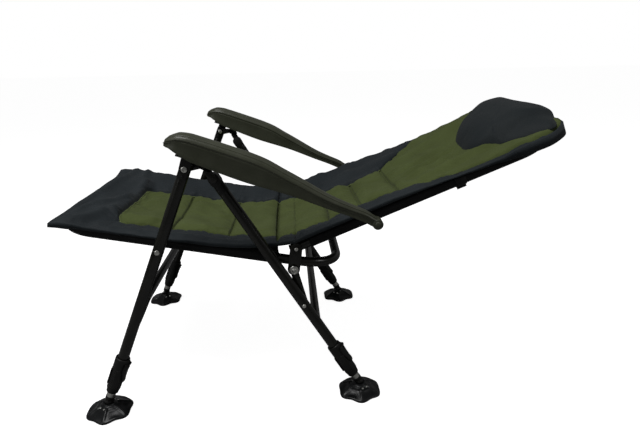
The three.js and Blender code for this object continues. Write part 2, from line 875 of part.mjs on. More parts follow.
// Rings closed by a fan of triangles at each end.
function fanned(rings) {
  const count = rings[0].length;
  const points = rings.flat();
  const index = [];
  for (let r = 0; r < rings.length - 1; r += 1) {
    for (let i = 0; i < count; i += 1) {
      const next = (i + 1) % count;
      const a = r * count + i;
      const b = r * count + next;
      index.push(a, b, b + count, a, b + count, a + count);
    }
  }
  [0, (rings.length - 1) * count].forEach((first, end) => {
    const centre = rings[end ? rings.length - 1 : 0]
      .reduce((sum, p) => sum.add(p), new THREE.Vector3()).divideScalar(count);
    points.push(centre);
    for (let i = 0; i < count; i += 1) {
      const pair = [first + i, first + (i + 1) % count];
      index.push(...(end ? pair : pair.reverse()), points.length - 1);
    }
  });
  const geometry = new THREE.BufferGeometry();
  geometry.setAttribute('position', new THREE.Float32BufferAttribute(points.flatMap((p) => p.toArray()), 3));
  geometry.setIndex(index);
  return closed(geometry);
}

function telescope(legs, x, footZ, lean, place, parts) {
  const ballAlong = ballHeight / Math.cos(radians(lean));
  piece(joint(legs, 0, footZ, 0, x), `${place[0]}_clamp_${place[1]}`, parts.clamp, plastic);
  const lever = joint(legs, leverPivotOut, footZ + clampBottom + clampLength - leverPivotFromTop, 0, x);
  piece(lever, `lock_lever_${place.join('_')}`, parts.lever, plastic);
  const inner = joint(legs, 0, footZ, 0, x);
  piece(inner, `inner_leg_${place.join('_')}`, innerLeg(ballAlong), zinc);
  const ball = joint(inner, 0, ballAlong, lean);
  piece(ball, `foot_ball_${place.join('_')}`, parts.ball, plastic);
  piece(joint(ball, 0, 0), `mud_foot_${place.join('_')}`, parts.foot, plastic);
}

const telescopeParts = {
  clamp: legClamp(),
  lever: lockLever(),
  ball: new THREE.SphereGeometry(ballRadius, pinSides, 8).rotateX(Math.PI / 2),
  foot: mudFoot(),
};

function frontTelescopes() {
  sides.forEach(([name, side]) => telescope(
    frontLegs, side * frontLegX, -frontLegBelowPivot, frontLegLean, ['front', name], telescopeParts,
  ));
}

// Leg brackets stay parallel to the seat: each carries the top pivot and the armrest slider.

const bracketParent = joint(frontLegs, 0, frontLegAbovePivot, frontLegLean);

function legBrackets() {
  const plate = (...outline) => sidePlate(capsule(...outline), bracketInner, bracketOuter);
  const endTop = bracketNeckRadius - bracketEndRadius;
  const bored = cut(
    join(
      plate(0, 0, 0, bracketEyeRadius / 2, bracketEyeRadius),
      plate(0, 0, bracketReach, 0, bracketNeckRadius),
      plate(bracketReach, endTop, bracketReach, -bracketFall, bracketEndRadius),
    ),
    rodX(pinRadius + slideFit, bracketInner - overrun, bracketOuter + overrun),
  );
  sides.forEach(([name, side]) => {
    piece(bracketParent, `leg_bracket_${name}`, sided(bored, side), powderCoat);
  });
}

// A shank through bracket, leg and slider ear, with a ringed head outside.
const earInnerFace = frontLegOuter + fit;
const earOuterFace = earInnerFace + sliderEarThickness;

function topPivots() {
  const face = earOuterFace + fit;
  const top = face + rivetHeadHeight;
  const rivet = turnedX([
    [0, bracketInner - fit - rivetHeadHeight],
    [rivetHeadRadius * 0.7, bracketInner - fit - rivetHeadHeight],
    [rivetHeadRadius, bracketInner - fit - rivetHeadHeight / 2],
    [rivetHeadRadius, bracketInner - fit],
    [pinRadius, bracketInner - fit],
    [pinRadius, face],
    [ringRivetRadius, face],
    [ringRivetRadius, top],
    [ringRivetRadius * 0.6, top],
    [ringRivetRadius * 0.5, face + rivetHeadHeight / 3],
    [0, face + rivetHeadHeight / 3],
  ]);
  sides.forEach(([name, side]) => piece(bracketParent, `top_pivot_${name}`, sided(rivet, side), zinc));
}

// Armrest sliders turn on the top pivots: local +Y runs along the armrest to its rear pin.

const sliderFrame = joint(bracketParent, 0, 0, armrestPitch);

function armrestSliders() {
  const half = sliderLength / 2;
  const block = new THREE.Shape();
  block.moveTo(-half, sliderLift);
  block.lineTo(half, sliderLift);
  block.lineTo(half, sliderLift + sliderHeight * 0.6);
  block.lineTo(half - sliderHeight, sliderLift + sliderHeight);
  block.lineTo(sliderHeight - half, sliderLift + sliderHeight);
  block.lineTo(-half, sliderLift + sliderHeight * 0.6);
  block.closePath();
  const shoe = sidePlate(block, frontLegX - sliderHalfWidth, frontLegX + sliderHalfWidth);
  const ear = sidePlate(
    capsule(0, 0, 0, sliderLift, sliderEarRadius),
    earInnerFace,
    earOuterFace,
  );
  const earTrim = moved(
    new THREE.BoxGeometry(sliderEarThickness * 4, sliderLength, sliderLift),
    earInnerFace, 0, sliderLift * 1.5 + sliderHeight,
  );
  const pin = moved(
    rodX(sliderPinRadius, frontLegX - rackHalfWidth, frontLegX + rackHalfWidth),
    0, 0, sliderLift + sliderHeight + sliderPinRadius / 2,
  );
  const bored = cut(
    join(shoe, ear, pin),
    earTrim,
    rodX(pinRadius + slideFit, earInnerFace - overrun, earOuterFace + overrun),
  );
  sides.forEach(([name, side]) => piece(sliderFrame, `armrest_slider_${name}`, sided(bored, side), plastic));
}

// Armrests: a lofted shell open underneath, with the adjusting rack moulded inside.

// Shares of the length, then of the depth for underside and top, then of the half width.
const armrestShares = [
  [0, 0.79, 0.9, 0.35],
  [0.011, 0.75, 1.06, 0.62],
  [0.026, 0.7, 1.21, 0.8],
  [0.048, 0.63, 1.34, 0.91],
  [0.087, 0.52, 1.41, 0.98],
  [0.12, 0.43, 1.42, 1],
  [0.238, 0.33, 1.4, 1],
  [0.36, 0.25, 1.36, 1],
  [0.438, 0.24, 1.28, 1],
  [0.52, 0.24, 1.1, 0.97],
  [0.6, 0.22, 0.93, 0.92],
  [0.687, 0.15, 0.73, 0.84],
  [0.771, 0.08, 0.56, 0.74],
  [0.854, 0.03, 0.46, 0.65],
  [0.936, -0.06, 0.38, 0.57],
  [1, -0.18, 0.22, 0.5],
];

function armrestRing([lengthShare, lowShare, highShare, widthShare], inset) {
  const y = lengthShare * (armrestNose + armrestLine.length()) - armrestNose;
  const w = widthShare * armrestHalfWidth - inset;
  const low = lowShare * armrestDepth - (inset ? overrun : 0);
  const high = highShare * armrestDepth - inset;
  const r = Math.min(armrestCorner * widthShare, (highShare - lowShare) * armrestDepth * 0.45) - inset * 0.5;
  const half = [
    [w, low],
    [w, high - r],
    [w - r * 0.3, high - r * 0.3],
    [w - r, high],
    [w * 0.3, high + armrestCrown * widthShare],
  ];
  return [
    ...half.map(([x, z]) => new THREE.Vector3(-x, y, z)),
    ...half.reverse().map(([x, z]) => new THREE.Vector3(x, y, z)),
  ];
}

function armrestShell() {
  const outer = skin(armrestShares.map((row) => armrestRing(row, 0)));
  const hollow = skin(armrestShares.slice(3, 13).map((row) => armrestRing(row, armrestWall)));
  const rackEnd = rackPitch * (rackNotches - 1);
  const rack = new THREE.Shape();
  rack.moveTo(-rackPitch / 2, 2 * armrestDepth);
  rack.lineTo(-rackPitch / 2, rackHeight);
  for (let i = 0; i < rackNotches; i += 1) {
    rack.absarc(i * rackPitch, rackHeight, rackNotchRadius, Math.PI, 0, true);
  }
  rack.lineTo(rackEnd + rackPitch / 2, rackHeight);
  rack.lineTo(rackEnd + rackPitch / 2, 2 * armrestDepth);
  rack.closePath();
  const rail = solid(sidePlate(rack, -rackHalfWidth, rackHalfWidth, 5)).intersect(solid(outer));
  const hub = moved(rodX(hubRadius, -hubHalfWidth, hubHalfWidth, tubeSides), 0, armrestLine.length(), 0);
  const head = moved(
    turnedX([
      [0, hubHalfWidth - fit],
      [rivetHeadRadius, hubHalfWidth - fit],
      [rivetHeadRadius * 0.8, hubHalfWidth + rivetHeadHeight * 0.7],
      [0, hubHalfWidth + rivetHeadHeight],
    ]),
    0, armrestLine.length(), 0,
  );
  return join(cut(outer, hollow), geometryOf(rail), hub, head);
}

function armrests() {
  const shell = moved(armrestShell(), frontLegX, 0, 0);
  sides.forEach(([name, side]) => piece(sliderFrame, `armrest_${name}`, sided(shell, side), armrestPlastic));
}

// Links hang from the hinge brackets; the rear legs turn on their lower ends.

const linkLength = linkLine.length();
const linkFrame = joint(seat, linkPivotBehind, -linkPivotDrop, linkPitch + seatPitch);
const rearLegs = joint(linkFrame, linkLength, 0, rearLegLean - linkPitch);

function links() {
  const holeRadius = pinRadius + slideFit;
  const hole = rodX(holeRadius, linkInner - overrun, linkOuter + overrun);
  const plate = sidePlate(capsule(0, 0, linkLength, 0, linkRadius), linkInner, linkOuter);
  const bored = cut(plate, hole, moved(hole, 0, linkLength, 0));
  sides.forEach(([name, side]) => piece(linkFrame, `link_${name}`, sided(bored, side), powderCoat));
}

function linkRivets() {
  const outer = rearLegOuter + fit;
  const inner = linkInner - fit;
  const rivet = turnedX([
    [0, inner - rivetHeadHeight],
    [rivetHeadRadius, inner - rivetHeadHeight],
    [rivetHeadRadius, inner],
    [pinRadius, inner],
    [pinRadius, outer],
    [rivetHeadRadius, outer],
    [rivetHeadRadius * 0.8, outer + rivetHeadHeight * 0.6],
    [0, outer + rivetHeadHeight],
  ]);
  sides.forEach(([name, side]) => piece(rearLegs, `link_rivet_${name}`, sided(rivet, side), zinc));
}

const rearFoot = linkOnRearLeg - rearLegLength;
const rearTubeTop = linkOnRearLeg - legTubeRadius - fit;

function rearLegTubes() {
  const bottom = rearFoot + clampBottom + tubeEndInClamp;
  const tube = tubeLeg(rearTubeTop - bottom, rearLegX, rearTubeTop, [0]);
  sides.forEach(([name, side]) => piece(rearLegs, `rear_leg_${name}`, sided(tube, side), powderCoat));
}

// The end block of a rear leg: a rounded knuckle beside the bracket, on a stem in the tube.
function rearLegCaps() {
  const knuckle = new THREE.Shape();
  knuckle.absarc(0, linkOnRearLeg, legTubeRadius, 0, Math.PI, false);
  knuckle.lineTo(-legTubeRadius, rearTubeTop + fit);
  knuckle.lineTo(legTubeRadius, rearTubeTop + fit);
  knuckle.closePath();
  const block = sidePlate(knuckle, rearLegX - legTubeRadius, rearLegX + legTubeRadius, bentTubeHalfSides);
  const stem = moved(
    rodZ(legBore - fit, rearTubeTop - capStem, rearTubeTop + capStem),
    rearLegX, 0, 0,
  );
  const cap = join(block, stem);
  sides.forEach(([name, side]) => piece(rearLegs, `rear_leg_cap_${name}`, sided(cap, side), plastic));
}

function rearBrace() {
  const end = rearLegX - legTubeRadius - fit;
  const tube = moved(rodX(braceTubeRadius, -end, end, tubeSides - 2), 0, 0, linkOnRearLeg - rearBraceOnLeg);
  piece(rearLegs, 'rear_brace', tube, powderCoat);
}

function rearTelescopes() {
  sides.forEach(([name, side]) => telescope(
    rearLegs, side * rearLegX, rearFoot, -rearLegLean, ['rear', name], telescopeParts,
  ));
}

// The back turns on its hinge pins: local +Y runs up the back, +Z towards the sitter.

const pins = joint(seat, 0, 0, backPitch + seatPitch);
const back = joint(pins, 0, 0);

function backPins() {
  const nutFace = railHalfSpan - frameTubeRadius - fit;
  const headFace = hingePlateOuter + fit;
  const pin = turnedX([
    [0, nutFace - linkNutReach],
    [rivetHeadRadius, nutFace - linkNutReach],
    [rivetHeadRadius, nutFace],
    [pinRadius, nutFace],
    [pinRadius, headFace],
    [rivetHeadRadius, headFace],
    [rivetHeadRadius * 0.8, headFace + rivetHeadHeight * 0.6],
    [0, headFace + rivetHeadHeight],
  ]);
  sides.forEach(([name, side]) => piece(pins, `back_pin_${name}`, sided(pin, side), zinc));
}

// The armrest pin stands off the back tube and ends at the inner face of the armrest's hub.
function armrestStub() {
  const tip = frontLegX - hubHalfWidth - fit;
  const stub = turnedX([
    [0, railHalfSpan],
    [spacerRadius, railHalfSpan],
    [spacerRadius, railFace + 2 * rivetHeadRadius],
    [pinRadius, railFace + 2 * rivetHeadRadius],
    [pinRadius, tip],
    [0, tip],
  ]);
  return moved(stub, 0, armrestOnBack, 0);
}

function backFrame() {
  const tube = bentTube(
    [
      new THREE.Vector3(railHalfSpan, -backTail, 0),
      new THREE.Vector3(railHalfSpan, backLength, 0),
      new THREE.Vector3(-railHalfSpan, backLength, 0),
      new THREE.Vector3(-railHalfSpan, -backTail, 0),
    ],
    [backCornerRadius, backCornerRadius],
    frameTubeRadius,
  );
  const drill = rodX(pinRadius + slideFit, railHalfSpan - 2 * frameTubeRadius, railFace + overrun);
  const bored = cut(tube, ...sides.map(([, side]) => sided(drill, side)));
  piece(back, 'back_frame', join(bored, ...sides.map(([, side]) => sided(armrestStub(), side))), powderCoat);
}


function backSling() {
  const notches = sides.map(([, side]) => sided(
    moved(rodX(spacerRadius + slideFit, railHalfSpan, frontLegX), 0, armrestOnBack, 0),
    side,
  ));
  piece(back, 'back_sling', cut(sling(...backSleeveEnds), ...notches), blackCloth);
}

// The mattress bends in its first section, which lies between the crease and the first sewn line.
const hingeSeam = backSeams[0];

function backQuilt(limits) {
  return skin(quilt({
    start: mattressGap,
    end: backMattressLength,
    seams: backSeams,
    fade: backSagFade,
    lift: () => 0,
    ...limits,
  }).map((ring) => ring.map(([x, y, z, shear]) => new THREE.Vector3(x, y + shear * z, z))));
}

function hingeMattress() {
  piece(pins, 'hinge_mattress', backQuilt({ to: hingeSeam - mattressGap / 2 }), oliveCloth);
}

function backMattress() {
  piece(back, 'back_mattress', backQuilt({ from: hingeSeam + mattressGap / 2 }), oliveCloth);
}

// A cushion with clipped corners, full in the middle and thin at its sewn edge.
const pillowAcrossShares = [-1, -0.94, -0.8, -0.55, -0.25, 0, 0.25, 0.55, 0.8, 0.94, 1];
const pillowAlongShares = [0, 0.04, 0.12, 0.26, 0.45, 0.62, 0.78, 0.9, 0.96, 1];

function pillow() {
  const pillowEnd = backMattressLength + pillowPastMattress;
  const pillowStart = pillowEnd - pillowLength;
  const pillowHalfWidth = mattressHalfWidth - pillowInset;
  const stations = [...pillowAlongShares.map((share) => pillowStart + share * pillowLength), backSagFade[1]];
  const rings = stations.sort((a, b) => a - b).map((y) => {
    const share = (y - pillowStart) / pillowLength;
    const clip = Math.max(0, 1 - Math.min(share, 1 - share) * pillowLength / pillowCornerCut);
    const half = pillowHalfWidth * (1 - 0.3 * clip);
    const faces = pillowAcrossShares.map((across) => {
      const fullness = (1 - Math.abs(across) ** 3) * (1 - Math.abs(2 * share - 1) ** 3);
      const thickness = mattressRim + (pillowThickness - mattressRim) * Math.sqrt(fullness);
      const x = across * half;
      const under = restHeight(x, y, backSagFade) + borderThickness + seamDepth * 0.4 + 2 * fit;
      return [x, under, under + thickness];
    });
    return [
      ...faces.map(([x, under]) => new THREE.Vector3(x, y, under)),
      ...faces.reverse().map(([x, , top]) => new THREE.Vector3(x, y, top)),
    ];
  });
  piece(back, 'pillow', skin(rings), navyCloth);
}

seatFrame();
rearBow();
hingeBrackets();
linkDiscs();
frontPivots();
seatSling();
seatMattress();
frontLegTubes();
frontBrace();
frontTelescopes();
legBrackets();
topPivots();
armrestSliders();
armrests();
links();
linkRivets();
rearLegTubes();
rearLegCaps();
rearBrace();
rearTelescopes();
backPins();
hingeMattress();
backFrame();
backSling();
backMattress();
pillow();

// The chair stands on the ground with its outline centred on the origin.
const outline = new THREE.Box3().setFromObject(chair, true);
chair.position.y = -(outline.min.y + outline.max.y) / 2;

export default chair;
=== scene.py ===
"""Carp fishing chair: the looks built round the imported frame."""
import json
import math

import bmesh
import bpy
from mathutils import Matrix, Vector, noise


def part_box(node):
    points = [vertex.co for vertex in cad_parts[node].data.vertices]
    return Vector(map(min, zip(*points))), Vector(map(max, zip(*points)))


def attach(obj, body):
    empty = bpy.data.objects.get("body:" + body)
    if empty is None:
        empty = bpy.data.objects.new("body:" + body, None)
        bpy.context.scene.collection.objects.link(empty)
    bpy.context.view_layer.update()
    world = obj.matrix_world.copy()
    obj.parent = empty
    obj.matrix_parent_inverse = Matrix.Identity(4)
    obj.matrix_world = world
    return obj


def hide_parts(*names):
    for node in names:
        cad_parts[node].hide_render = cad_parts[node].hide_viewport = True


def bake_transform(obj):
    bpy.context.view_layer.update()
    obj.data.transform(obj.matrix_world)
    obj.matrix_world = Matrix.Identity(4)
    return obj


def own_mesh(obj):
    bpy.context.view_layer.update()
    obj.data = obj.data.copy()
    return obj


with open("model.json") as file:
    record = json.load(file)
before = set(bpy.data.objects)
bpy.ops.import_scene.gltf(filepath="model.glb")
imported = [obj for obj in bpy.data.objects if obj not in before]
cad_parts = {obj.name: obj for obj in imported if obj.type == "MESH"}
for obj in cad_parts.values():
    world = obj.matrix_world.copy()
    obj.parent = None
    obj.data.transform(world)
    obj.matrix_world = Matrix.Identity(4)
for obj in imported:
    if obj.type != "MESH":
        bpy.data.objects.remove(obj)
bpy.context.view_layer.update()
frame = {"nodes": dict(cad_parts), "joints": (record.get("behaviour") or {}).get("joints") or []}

bl_info = {
    "name": "Carp Fishing Chair",
    "version": (1, 0, 0),
    "blender": (4, 5, 0),
    "location": "3D View > Sidebar > Chair",
    "description": "Builds a folding reclining chair with a quilted mattress, armrests and mud feet",
    "category": "Object",
}

# Places: every part is drawn in millimetres in its own turned frame

MM = 0.001
PIVOT = {j["name"]: Vector(j["pos_m"]) for j in frame["joints"] if j.get("pos_m")}
# Degrees that each part leans from level or upright
SEAT_TILT = -11
BACK_TILT = 21.6
FRONT_LEAN = 22.73
REAR_LEAN = -31.14
LINK_TILT = -75.46253
ARM_TILT = -18.46302


def place(point, tilt):
    turn = Matrix.Rotation(math.radians(tilt), 4, "X")
    return Matrix.Translation(point) @ turn @ Matrix.Scale(MM, 4)


SEAT = place(PIVOT["recline"], SEAT_TILT)
BACK = place(PIVOT["recline"], BACK_TILT)
FRONT = place(PIVOT["fold"], -FRONT_LEAN)
REAR = place(PIVOT["rear_legs_turn"], -REAR_LEAN)
LINK = place(PIVOT["link_left_swing"], LINK_TILT)
BRACKET = place(PIVOT["leg_bracket_left_turn"], 0)
ARM = place(PIVOT["leg_bracket_left_turn"], ARM_TILT)
SIDES = (("left", 1), ("right", -1))

# Sizes in millimetres

RAIL_X = 237
RAIL_DROP = 31
SEAT_REACH = 508
SEAT_BEND = 62
BOW_START = 0.3
BOW_REACH = 105
BOW_BEND = 92
BACK_START = -14
BACK_REACH = 612
BACK_BEND = 78
HINGE_PLATE_X = (248.3, 251.6)
HINGE_PLATE_R = 13.9
HINGE_PIN_START = 225.7
LINK_X = (252.0, 255.2)
LINK_R = 9
REAR_LEG_X = 267.7
BRACKET_X = (280.0, 282.7)
FRONT_LEG_X = 295.0
FRONT_LEG_OUTSIDE = 310.6
FRONT_LEG_Z = (-349.4, 198.9)
FRONT_FOOT_Z = -419.38
TOP_PIVOT_Z = 188.9
REAR_LEG_Z = (-205.8, 334.7)
REAR_FOOT_Z = -275.77
REAR_TOP_Z = 347.0
LEG_WALL = 1.8
LEG_RIM = 0.4
FITTING_R = 12.2
FRONT_BRACE_UP = (228, 270)
FRONT_BRACE_X = (282.7, 227.7)
FRONT_BRACE_BEND = 18.33
REAR_BRACE_Z = -53
REAR_BRACE_END = 255.4
BRACE_R = 10
FRONT_PIVOT_Y = -289.5
LINK_PIVOT = (2.2, -48.0)
LINK_LENGTH = 81.02
ARM_LENGTH = 411.7
ARM_NOSE = 50.0
HUB_Y_ON_BACK = 186.5
LEVER_OUT = 18.0
LEVER_UP = 136.0
BALL_UP = 26.0
MATTRESS_HALF = 252.0
SAG = 34.0
SLEEVE_R = 13.0
SLEEVE_WALL = 1.7
# The sleeves' sides round them and steps round each bend
SLEEVE_DETAIL = (32, 14)
SEAT_SLING_Y = (-500, -36)
BACK_SLING_Y = (34, 604)
# The back's sleeve is navy from here up
NAVY_FROM = 436
STRAP_Y = 392


class ChairSizes(bpy.types.PropertyGroup):
    """Sizes that a user would change."""

    frame_tube: bpy.props.FloatProperty(
        name="Frame tube", description="Diameter of the seat and back tubes",
        default=0.022, min=0.018, max=0.026, unit="LENGTH")
    leg_tube: bpy.props.FloatProperty(
        name="Leg tube", description="Diameter of the leg tubes",
        default=0.024, min=0.02, max=0.0244, unit="LENGTH")
    quilt_groove: bpy.props.FloatProperty(
        name="Quilting groove", description="Depth of the sewn lines in the mattress",
        default=0.0075, min=0.0, max=0.01, unit="LENGTH")
    wrinkle: bpy.props.FloatProperty(
        name="Wrinkles", description="Height of the folds in the mattress cloth",
        default=0.003, min=0.0, max=0.005, unit="LENGTH")
    pillow_fill: bpy.props.FloatProperty(
        name="Pillow fill", description="How full the pillow is, from slack to tight",
        default=0.6, min=0.0, max=1.0, subtype="FACTOR")


def hex_prop(name, description, default):
    return bpy.props.StringProperty(name=name, description=description, default=default)


class ChairColours(bpy.types.PropertyGroup):
    """Colours, as sRGB hex."""

    tube: hex_prop("Tube", "Powder coat on the tubes", "#0B0B08")
    armrest: hex_prop("Armrest", "Moulded armrests", "#34362B")
    moulding: hex_prop("Mouldings", "Clamps, caps and feet", "#0B0B0A")
    metal: hex_prop("Bright metal", "Plated rivets and inner legs", "#B4B4AF")
    olive: hex_prop("Olive cloth", "Centre panel of the mattress", "#414927")
    navy: hex_prop("Navy cloth", "Borders of the mattress", "#1D2225")
    pillow: hex_prop("Pillow cloth", "Pillow cover", "#1B2022")
    sling: hex_prop("Sling cloth", "Slings under the mattress", "#0B0B0C")


def sizes():
    return bpy.context.scene.carp_chair_sizes


def colours():
    return bpy.context.scene.carp_chair_colours


# Materials


def srgb(text):
    """A hex colour as linear red, green, blue and alpha."""
    channels = [int(text[i:i + 2], 16) / 255 for i in (1, 3, 5)]
    return [c / 12.92 if c <= 0.04045 else ((c + 0.055) / 1.055) ** 2.4 for c in channels] + [1.0]


def add_node(tree, kind, settings=None, **sockets):
    """Adds a node; a socket named with underscores gets a value or a link."""
    made = tree.nodes.new(kind)
    for name, value in (settings or {}).items():
        setattr(made, name, value)
    for name, value in sockets.items():
        key = name.replace("_", " ") if not name.startswith("i") or not name[1:].isdigit() else int(name[1:])
        socket = made.inputs[key]
        if isinstance(value, bpy.types.NodeSocket):
            tree.links.new(value, socket)
        else:
            socket.default_value = value
    return made


def linked(shader, **outputs):
    """Links outputs of nodes to a shader's sockets."""
    for name, output in outputs.items():
        shader.id_data.links.new(output, shader.inputs[name.replace("_", " ")])


def new_material(name, colour, roughness, **sockets):
    material = bpy.data.materials.new(name)
    material.use_nodes = True
    tree = material.node_tree
    tree.nodes.clear()
    shader = add_node(tree, "ShaderNodeBsdfPrincipled", Base_Color=srgb(colour), Roughness=roughness,
                      **sockets)
    add_node(tree, "ShaderNodeOutputMaterial", i0=shader.outputs[0])
    return material, tree, shader


def lumps(mm):
    """The scale at which a pattern's lumps are so many millimetres wide."""
    return 1 / (mm * MM)


def mottled(tree, where, first, second, mm, low=0.4, high=0.6):
    """Two colours mixed by soft noise."""
    cloud = add_node(tree, "ShaderNodeTexNoise", Vector=where, Scale=lumps(mm), Detail=4.0)
    spread = add_node(tree, "ShaderNodeMapRange", i0=cloud.outputs[0], i1=low, i2=high)
    mix = add_node(tree, "ShaderNodeMix", {"data_type": "RGBA"}, i0=spread.outputs[0], i6=srgb(first),
                   i7=srgb(second))
    return mix.outputs[2]


def powder_coat():
    # Polyester powder baked on steel: a thick smooth film with a faint orange peel about 1.5 mm across
    material, tree, shader = new_material("bronze_black_powder_coat", colours().tube, 0.26, IOR=1.45,
                                          Specular_IOR_Level=0.35, Coat_Weight=0.15, Coat_Roughness=0.1)
    where = add_node(tree, "ShaderNodeTexCoord").outputs["Object"]
    peel = add_node(tree, "ShaderNodeTexNoise", Vector=where, Scale=lumps(1.538), Detail=2.0)
    scuffs = add_node(tree, "ShaderNodeTexNoise", Vector=where, Scale=lumps(22.22), Detail=6.0)
    rough = add_node(tree, "ShaderNodeMapRange", i0=scuffs.outputs[0], i1=0.3, i2=0.75, i3=0.2, i4=0.32)
    bump = add_node(tree, "ShaderNodeBump", Height=peel.outputs[0], Strength=0.12, Distance=0.0004)
    linked(shader, Base_Color=mottled(tree, where, colours().tube, "#12120E", 33.33),
           Roughness=rough.outputs[0], Normal=bump.outputs[0])
    return material


def plated_steel():
    # Zinc-plated steel: bright, slightly cloudy, with soft blotches where the plating is thicker
    material, tree, shader = new_material("zinc_plated_steel", colours().metal, 0.3, Metallic=1.0)
    where = add_node(tree, "ShaderNodeTexCoord").outputs["Object"]
    cloud = add_node(tree, "ShaderNodeTexNoise", Vector=where, Scale=lumps(5.556), Detail=5.0)
    rough = add_node(tree, "ShaderNodeMapRange", i0=cloud.outputs[0], i1=0.3, i2=0.7, i3=0.22, i4=0.42)
    bump = add_node(tree, "ShaderNodeBump", Height=cloud.outputs[0], Strength=0.08, Distance=0.0002)
    linked(shader, Base_Color=mottled(tree, where, colours().metal, "#C6C6C1", 8.333),
           Roughness=rough.outputs[0], Normal=bump.outputs[0])
    return material


def moulding(name, colour, second, roughness, grain_mm, strength):
    # Injection moulding: a fine spark-eroded grain over a soft, slightly uneven gloss
    material, tree, shader = new_material(name, colour, roughness, IOR=1.49, Specular_IOR_Level=0.25)
    where = add_node(tree, "ShaderNodeTexCoord").outputs["Object"]
    grain = add_node(tree, "ShaderNodeTexVoronoi", Vector=where, Scale=lumps(grain_mm))
    cloud = add_node(tree, "ShaderNodeTexNoise", Vector=where, Scale=lumps(26.32), Detail=5.0)
    rough = add_node(tree, "ShaderNodeMapRange", i0=cloud.outputs[0], i1=0.3, i2=0.7,
                     i3=roughness - 0.06, i4=roughness + 0.1)
    bump = add_node(tree, "ShaderNodeBump", Height=grain.outputs[0], Strength=strength, Distance=0.0003)
    linked(shader, Base_Color=mottled(tree, where, colour, second, 45.45), Roughness=rough.outputs[0],
           Normal=bump.outputs[0])
    return material


# A wave texture of scale 1 repeats every so many metres
WAVE_REPEAT = 0.314


def woven(name, colour, worn, roughness, thread_mm, sheen, strength=0.35):
    # Plain-woven polyester: threads crossing at right angles, paler where it is rubbed. The threads
    # are drawn two or three times as coarse as real ones, which would be too fine to show
    material, tree, shader = new_material(name, colour, roughness, IOR=1.45, Specular_IOR_Level=0.12,
                                          Sheen_Weight=sheen, Sheen_Roughness=0.5)
    where = add_node(tree, "ShaderNodeTexCoord").outputs["Object"]
    scale = WAVE_REPEAT * lumps(thread_mm)
    warp, weft = (add_node(tree, "ShaderNodeTexWave", {"bands_direction": axis}, Vector=where, Scale=scale,
                           Distortion=0.4, Detail=1.0, Detail_Scale=2.0) for axis in "XY")
    cross = add_node(tree, "ShaderNodeMath", {"operation": "MULTIPLY"},
                     i0=warp.outputs[1], i1=weft.outputs[1])
    soft = add_node(tree, "ShaderNodeTexNoise", Vector=where, Scale=lumps(18.18), Detail=5.0)
    crumple = add_node(tree, "ShaderNodeMath", {"operation": "MULTIPLY_ADD"},
                       i0=soft.outputs[0], i1=3.0, i2=cross.outputs[0])
    bump = add_node(tree, "ShaderNodeBump", Height=crumple.outputs[0], Strength=strength, Distance=0.0006)
    linked(shader, Base_Color=mottled(tree, where, colour, worn, 71.43, 0.35, 0.7), Normal=bump.outputs[0])
    return material


FINISH = {}


def make_finishes():
    c = colours()
    FINISH["tube"] = powder_coat()
    FINISH["metal"] = plated_steel()
    FINISH["armrest"] = moulding("polypropylene_armrest", c.armrest, "#393B30", 0.36, 0.6, 0.1)
    FINISH["moulding"] = moulding("black_nylon_moulding", c.moulding, "#111110", 0.4, 0.5, 0.2)
    FINISH["foot"] = moulding("black_polyethylene_foot", "#0D0E0F", "#131415", 0.3, 0.9, 0.12)
    FINISH["olive"] = woven("olive_brushed_polyester", c.olive, "#48512D", 0.85, 1.2, 0.03)
    FINISH["piping"] = woven("olive_piping_cord", "#59633A", "#646E44", 0.8, 0.8, 0.05)
    FINISH["navy"] = woven("navy_coated_polyester", c.navy, "#23282B", 0.6, 1.0, 0.03, 0.25)
    FINISH["pillow"] = woven("black_coated_polyester", c.pillow, "#202426", 0.62, 1.0, 0.03, 0.25)
    FINISH["sling"] = woven("black_oxford_cloth", c.sling, "#101112", 0.7, 1.4, 0.04)
    FINISH["webbing"] = woven("black_polypropylene_webbing", "#0C0C0C", "#151515", 0.6, 1.6, 0.05)


# Each look's colour slot, the degrees past which its edges stay sharp, and its finishes
LOOKS = {
    "tube": ("frame_tube", 38, "tube"),
    "metal": ("bright_hardware", 38, "metal"),
    "plastic": ("black_plastic", 38, "moulding"),
    "foot": ("black_plastic", 50, "foot"),
    "inner tube": ("inner_tube", 38, "metal", "moulding"),
    "armrest": ("armrest_plastic", 50, "armrest"),
    "quilt": ("olive_fabric", 180, "olive", "navy"),
    "pillow": ("navy_fabric", 180, "pillow"),
    "seat sling": ("black_fabric", 60, "sling"),
    "back sling": ("black_fabric", 60, "sling", "navy"),
    "webbing": ("black_fabric", 38, "webbing"),
}


# Mesh helpers


def turned(profile, segments=40):
    """A closed outline of (radius, height) pairs turned about Z."""
    bm = bmesh.new()
    verts = [bm.verts.new((radius, 0, height)) for radius, height in profile]
    edges = [bm.edges.new(pair) for pair in zip(verts, verts[1:])]
    bmesh.ops.spin(bm, geom=verts + edges, cent=(0, 0, 0), axis=(0, 0, 1), angle=math.tau,
                   steps=segments, use_merge=True, use_duplicate=False)
    bmesh.ops.remove_doubles(bm, verts=bm.verts[:], dist=1e-3)
    bmesh.ops.recalc_face_normals(bm, faces=bm.faces[:])
    return bm


def turned_x(profile, segments=36):
    """The same about X, height running along +X."""
    bm = turned(profile, segments)
    bm.transform(Matrix.Rotation(math.pi / 2, 4, "Y"))
    return bm


def gathered(whole, part, where=Matrix()):
    """Adds a part's mesh to another."""
    part.transform(where)
    scratch = bpy.data.meshes.new("scratch")
    part.to_mesh(scratch)
    part.free()
    whole.from_mesh(scratch)
    bpy.data.meshes.remove(scratch)
    return whole


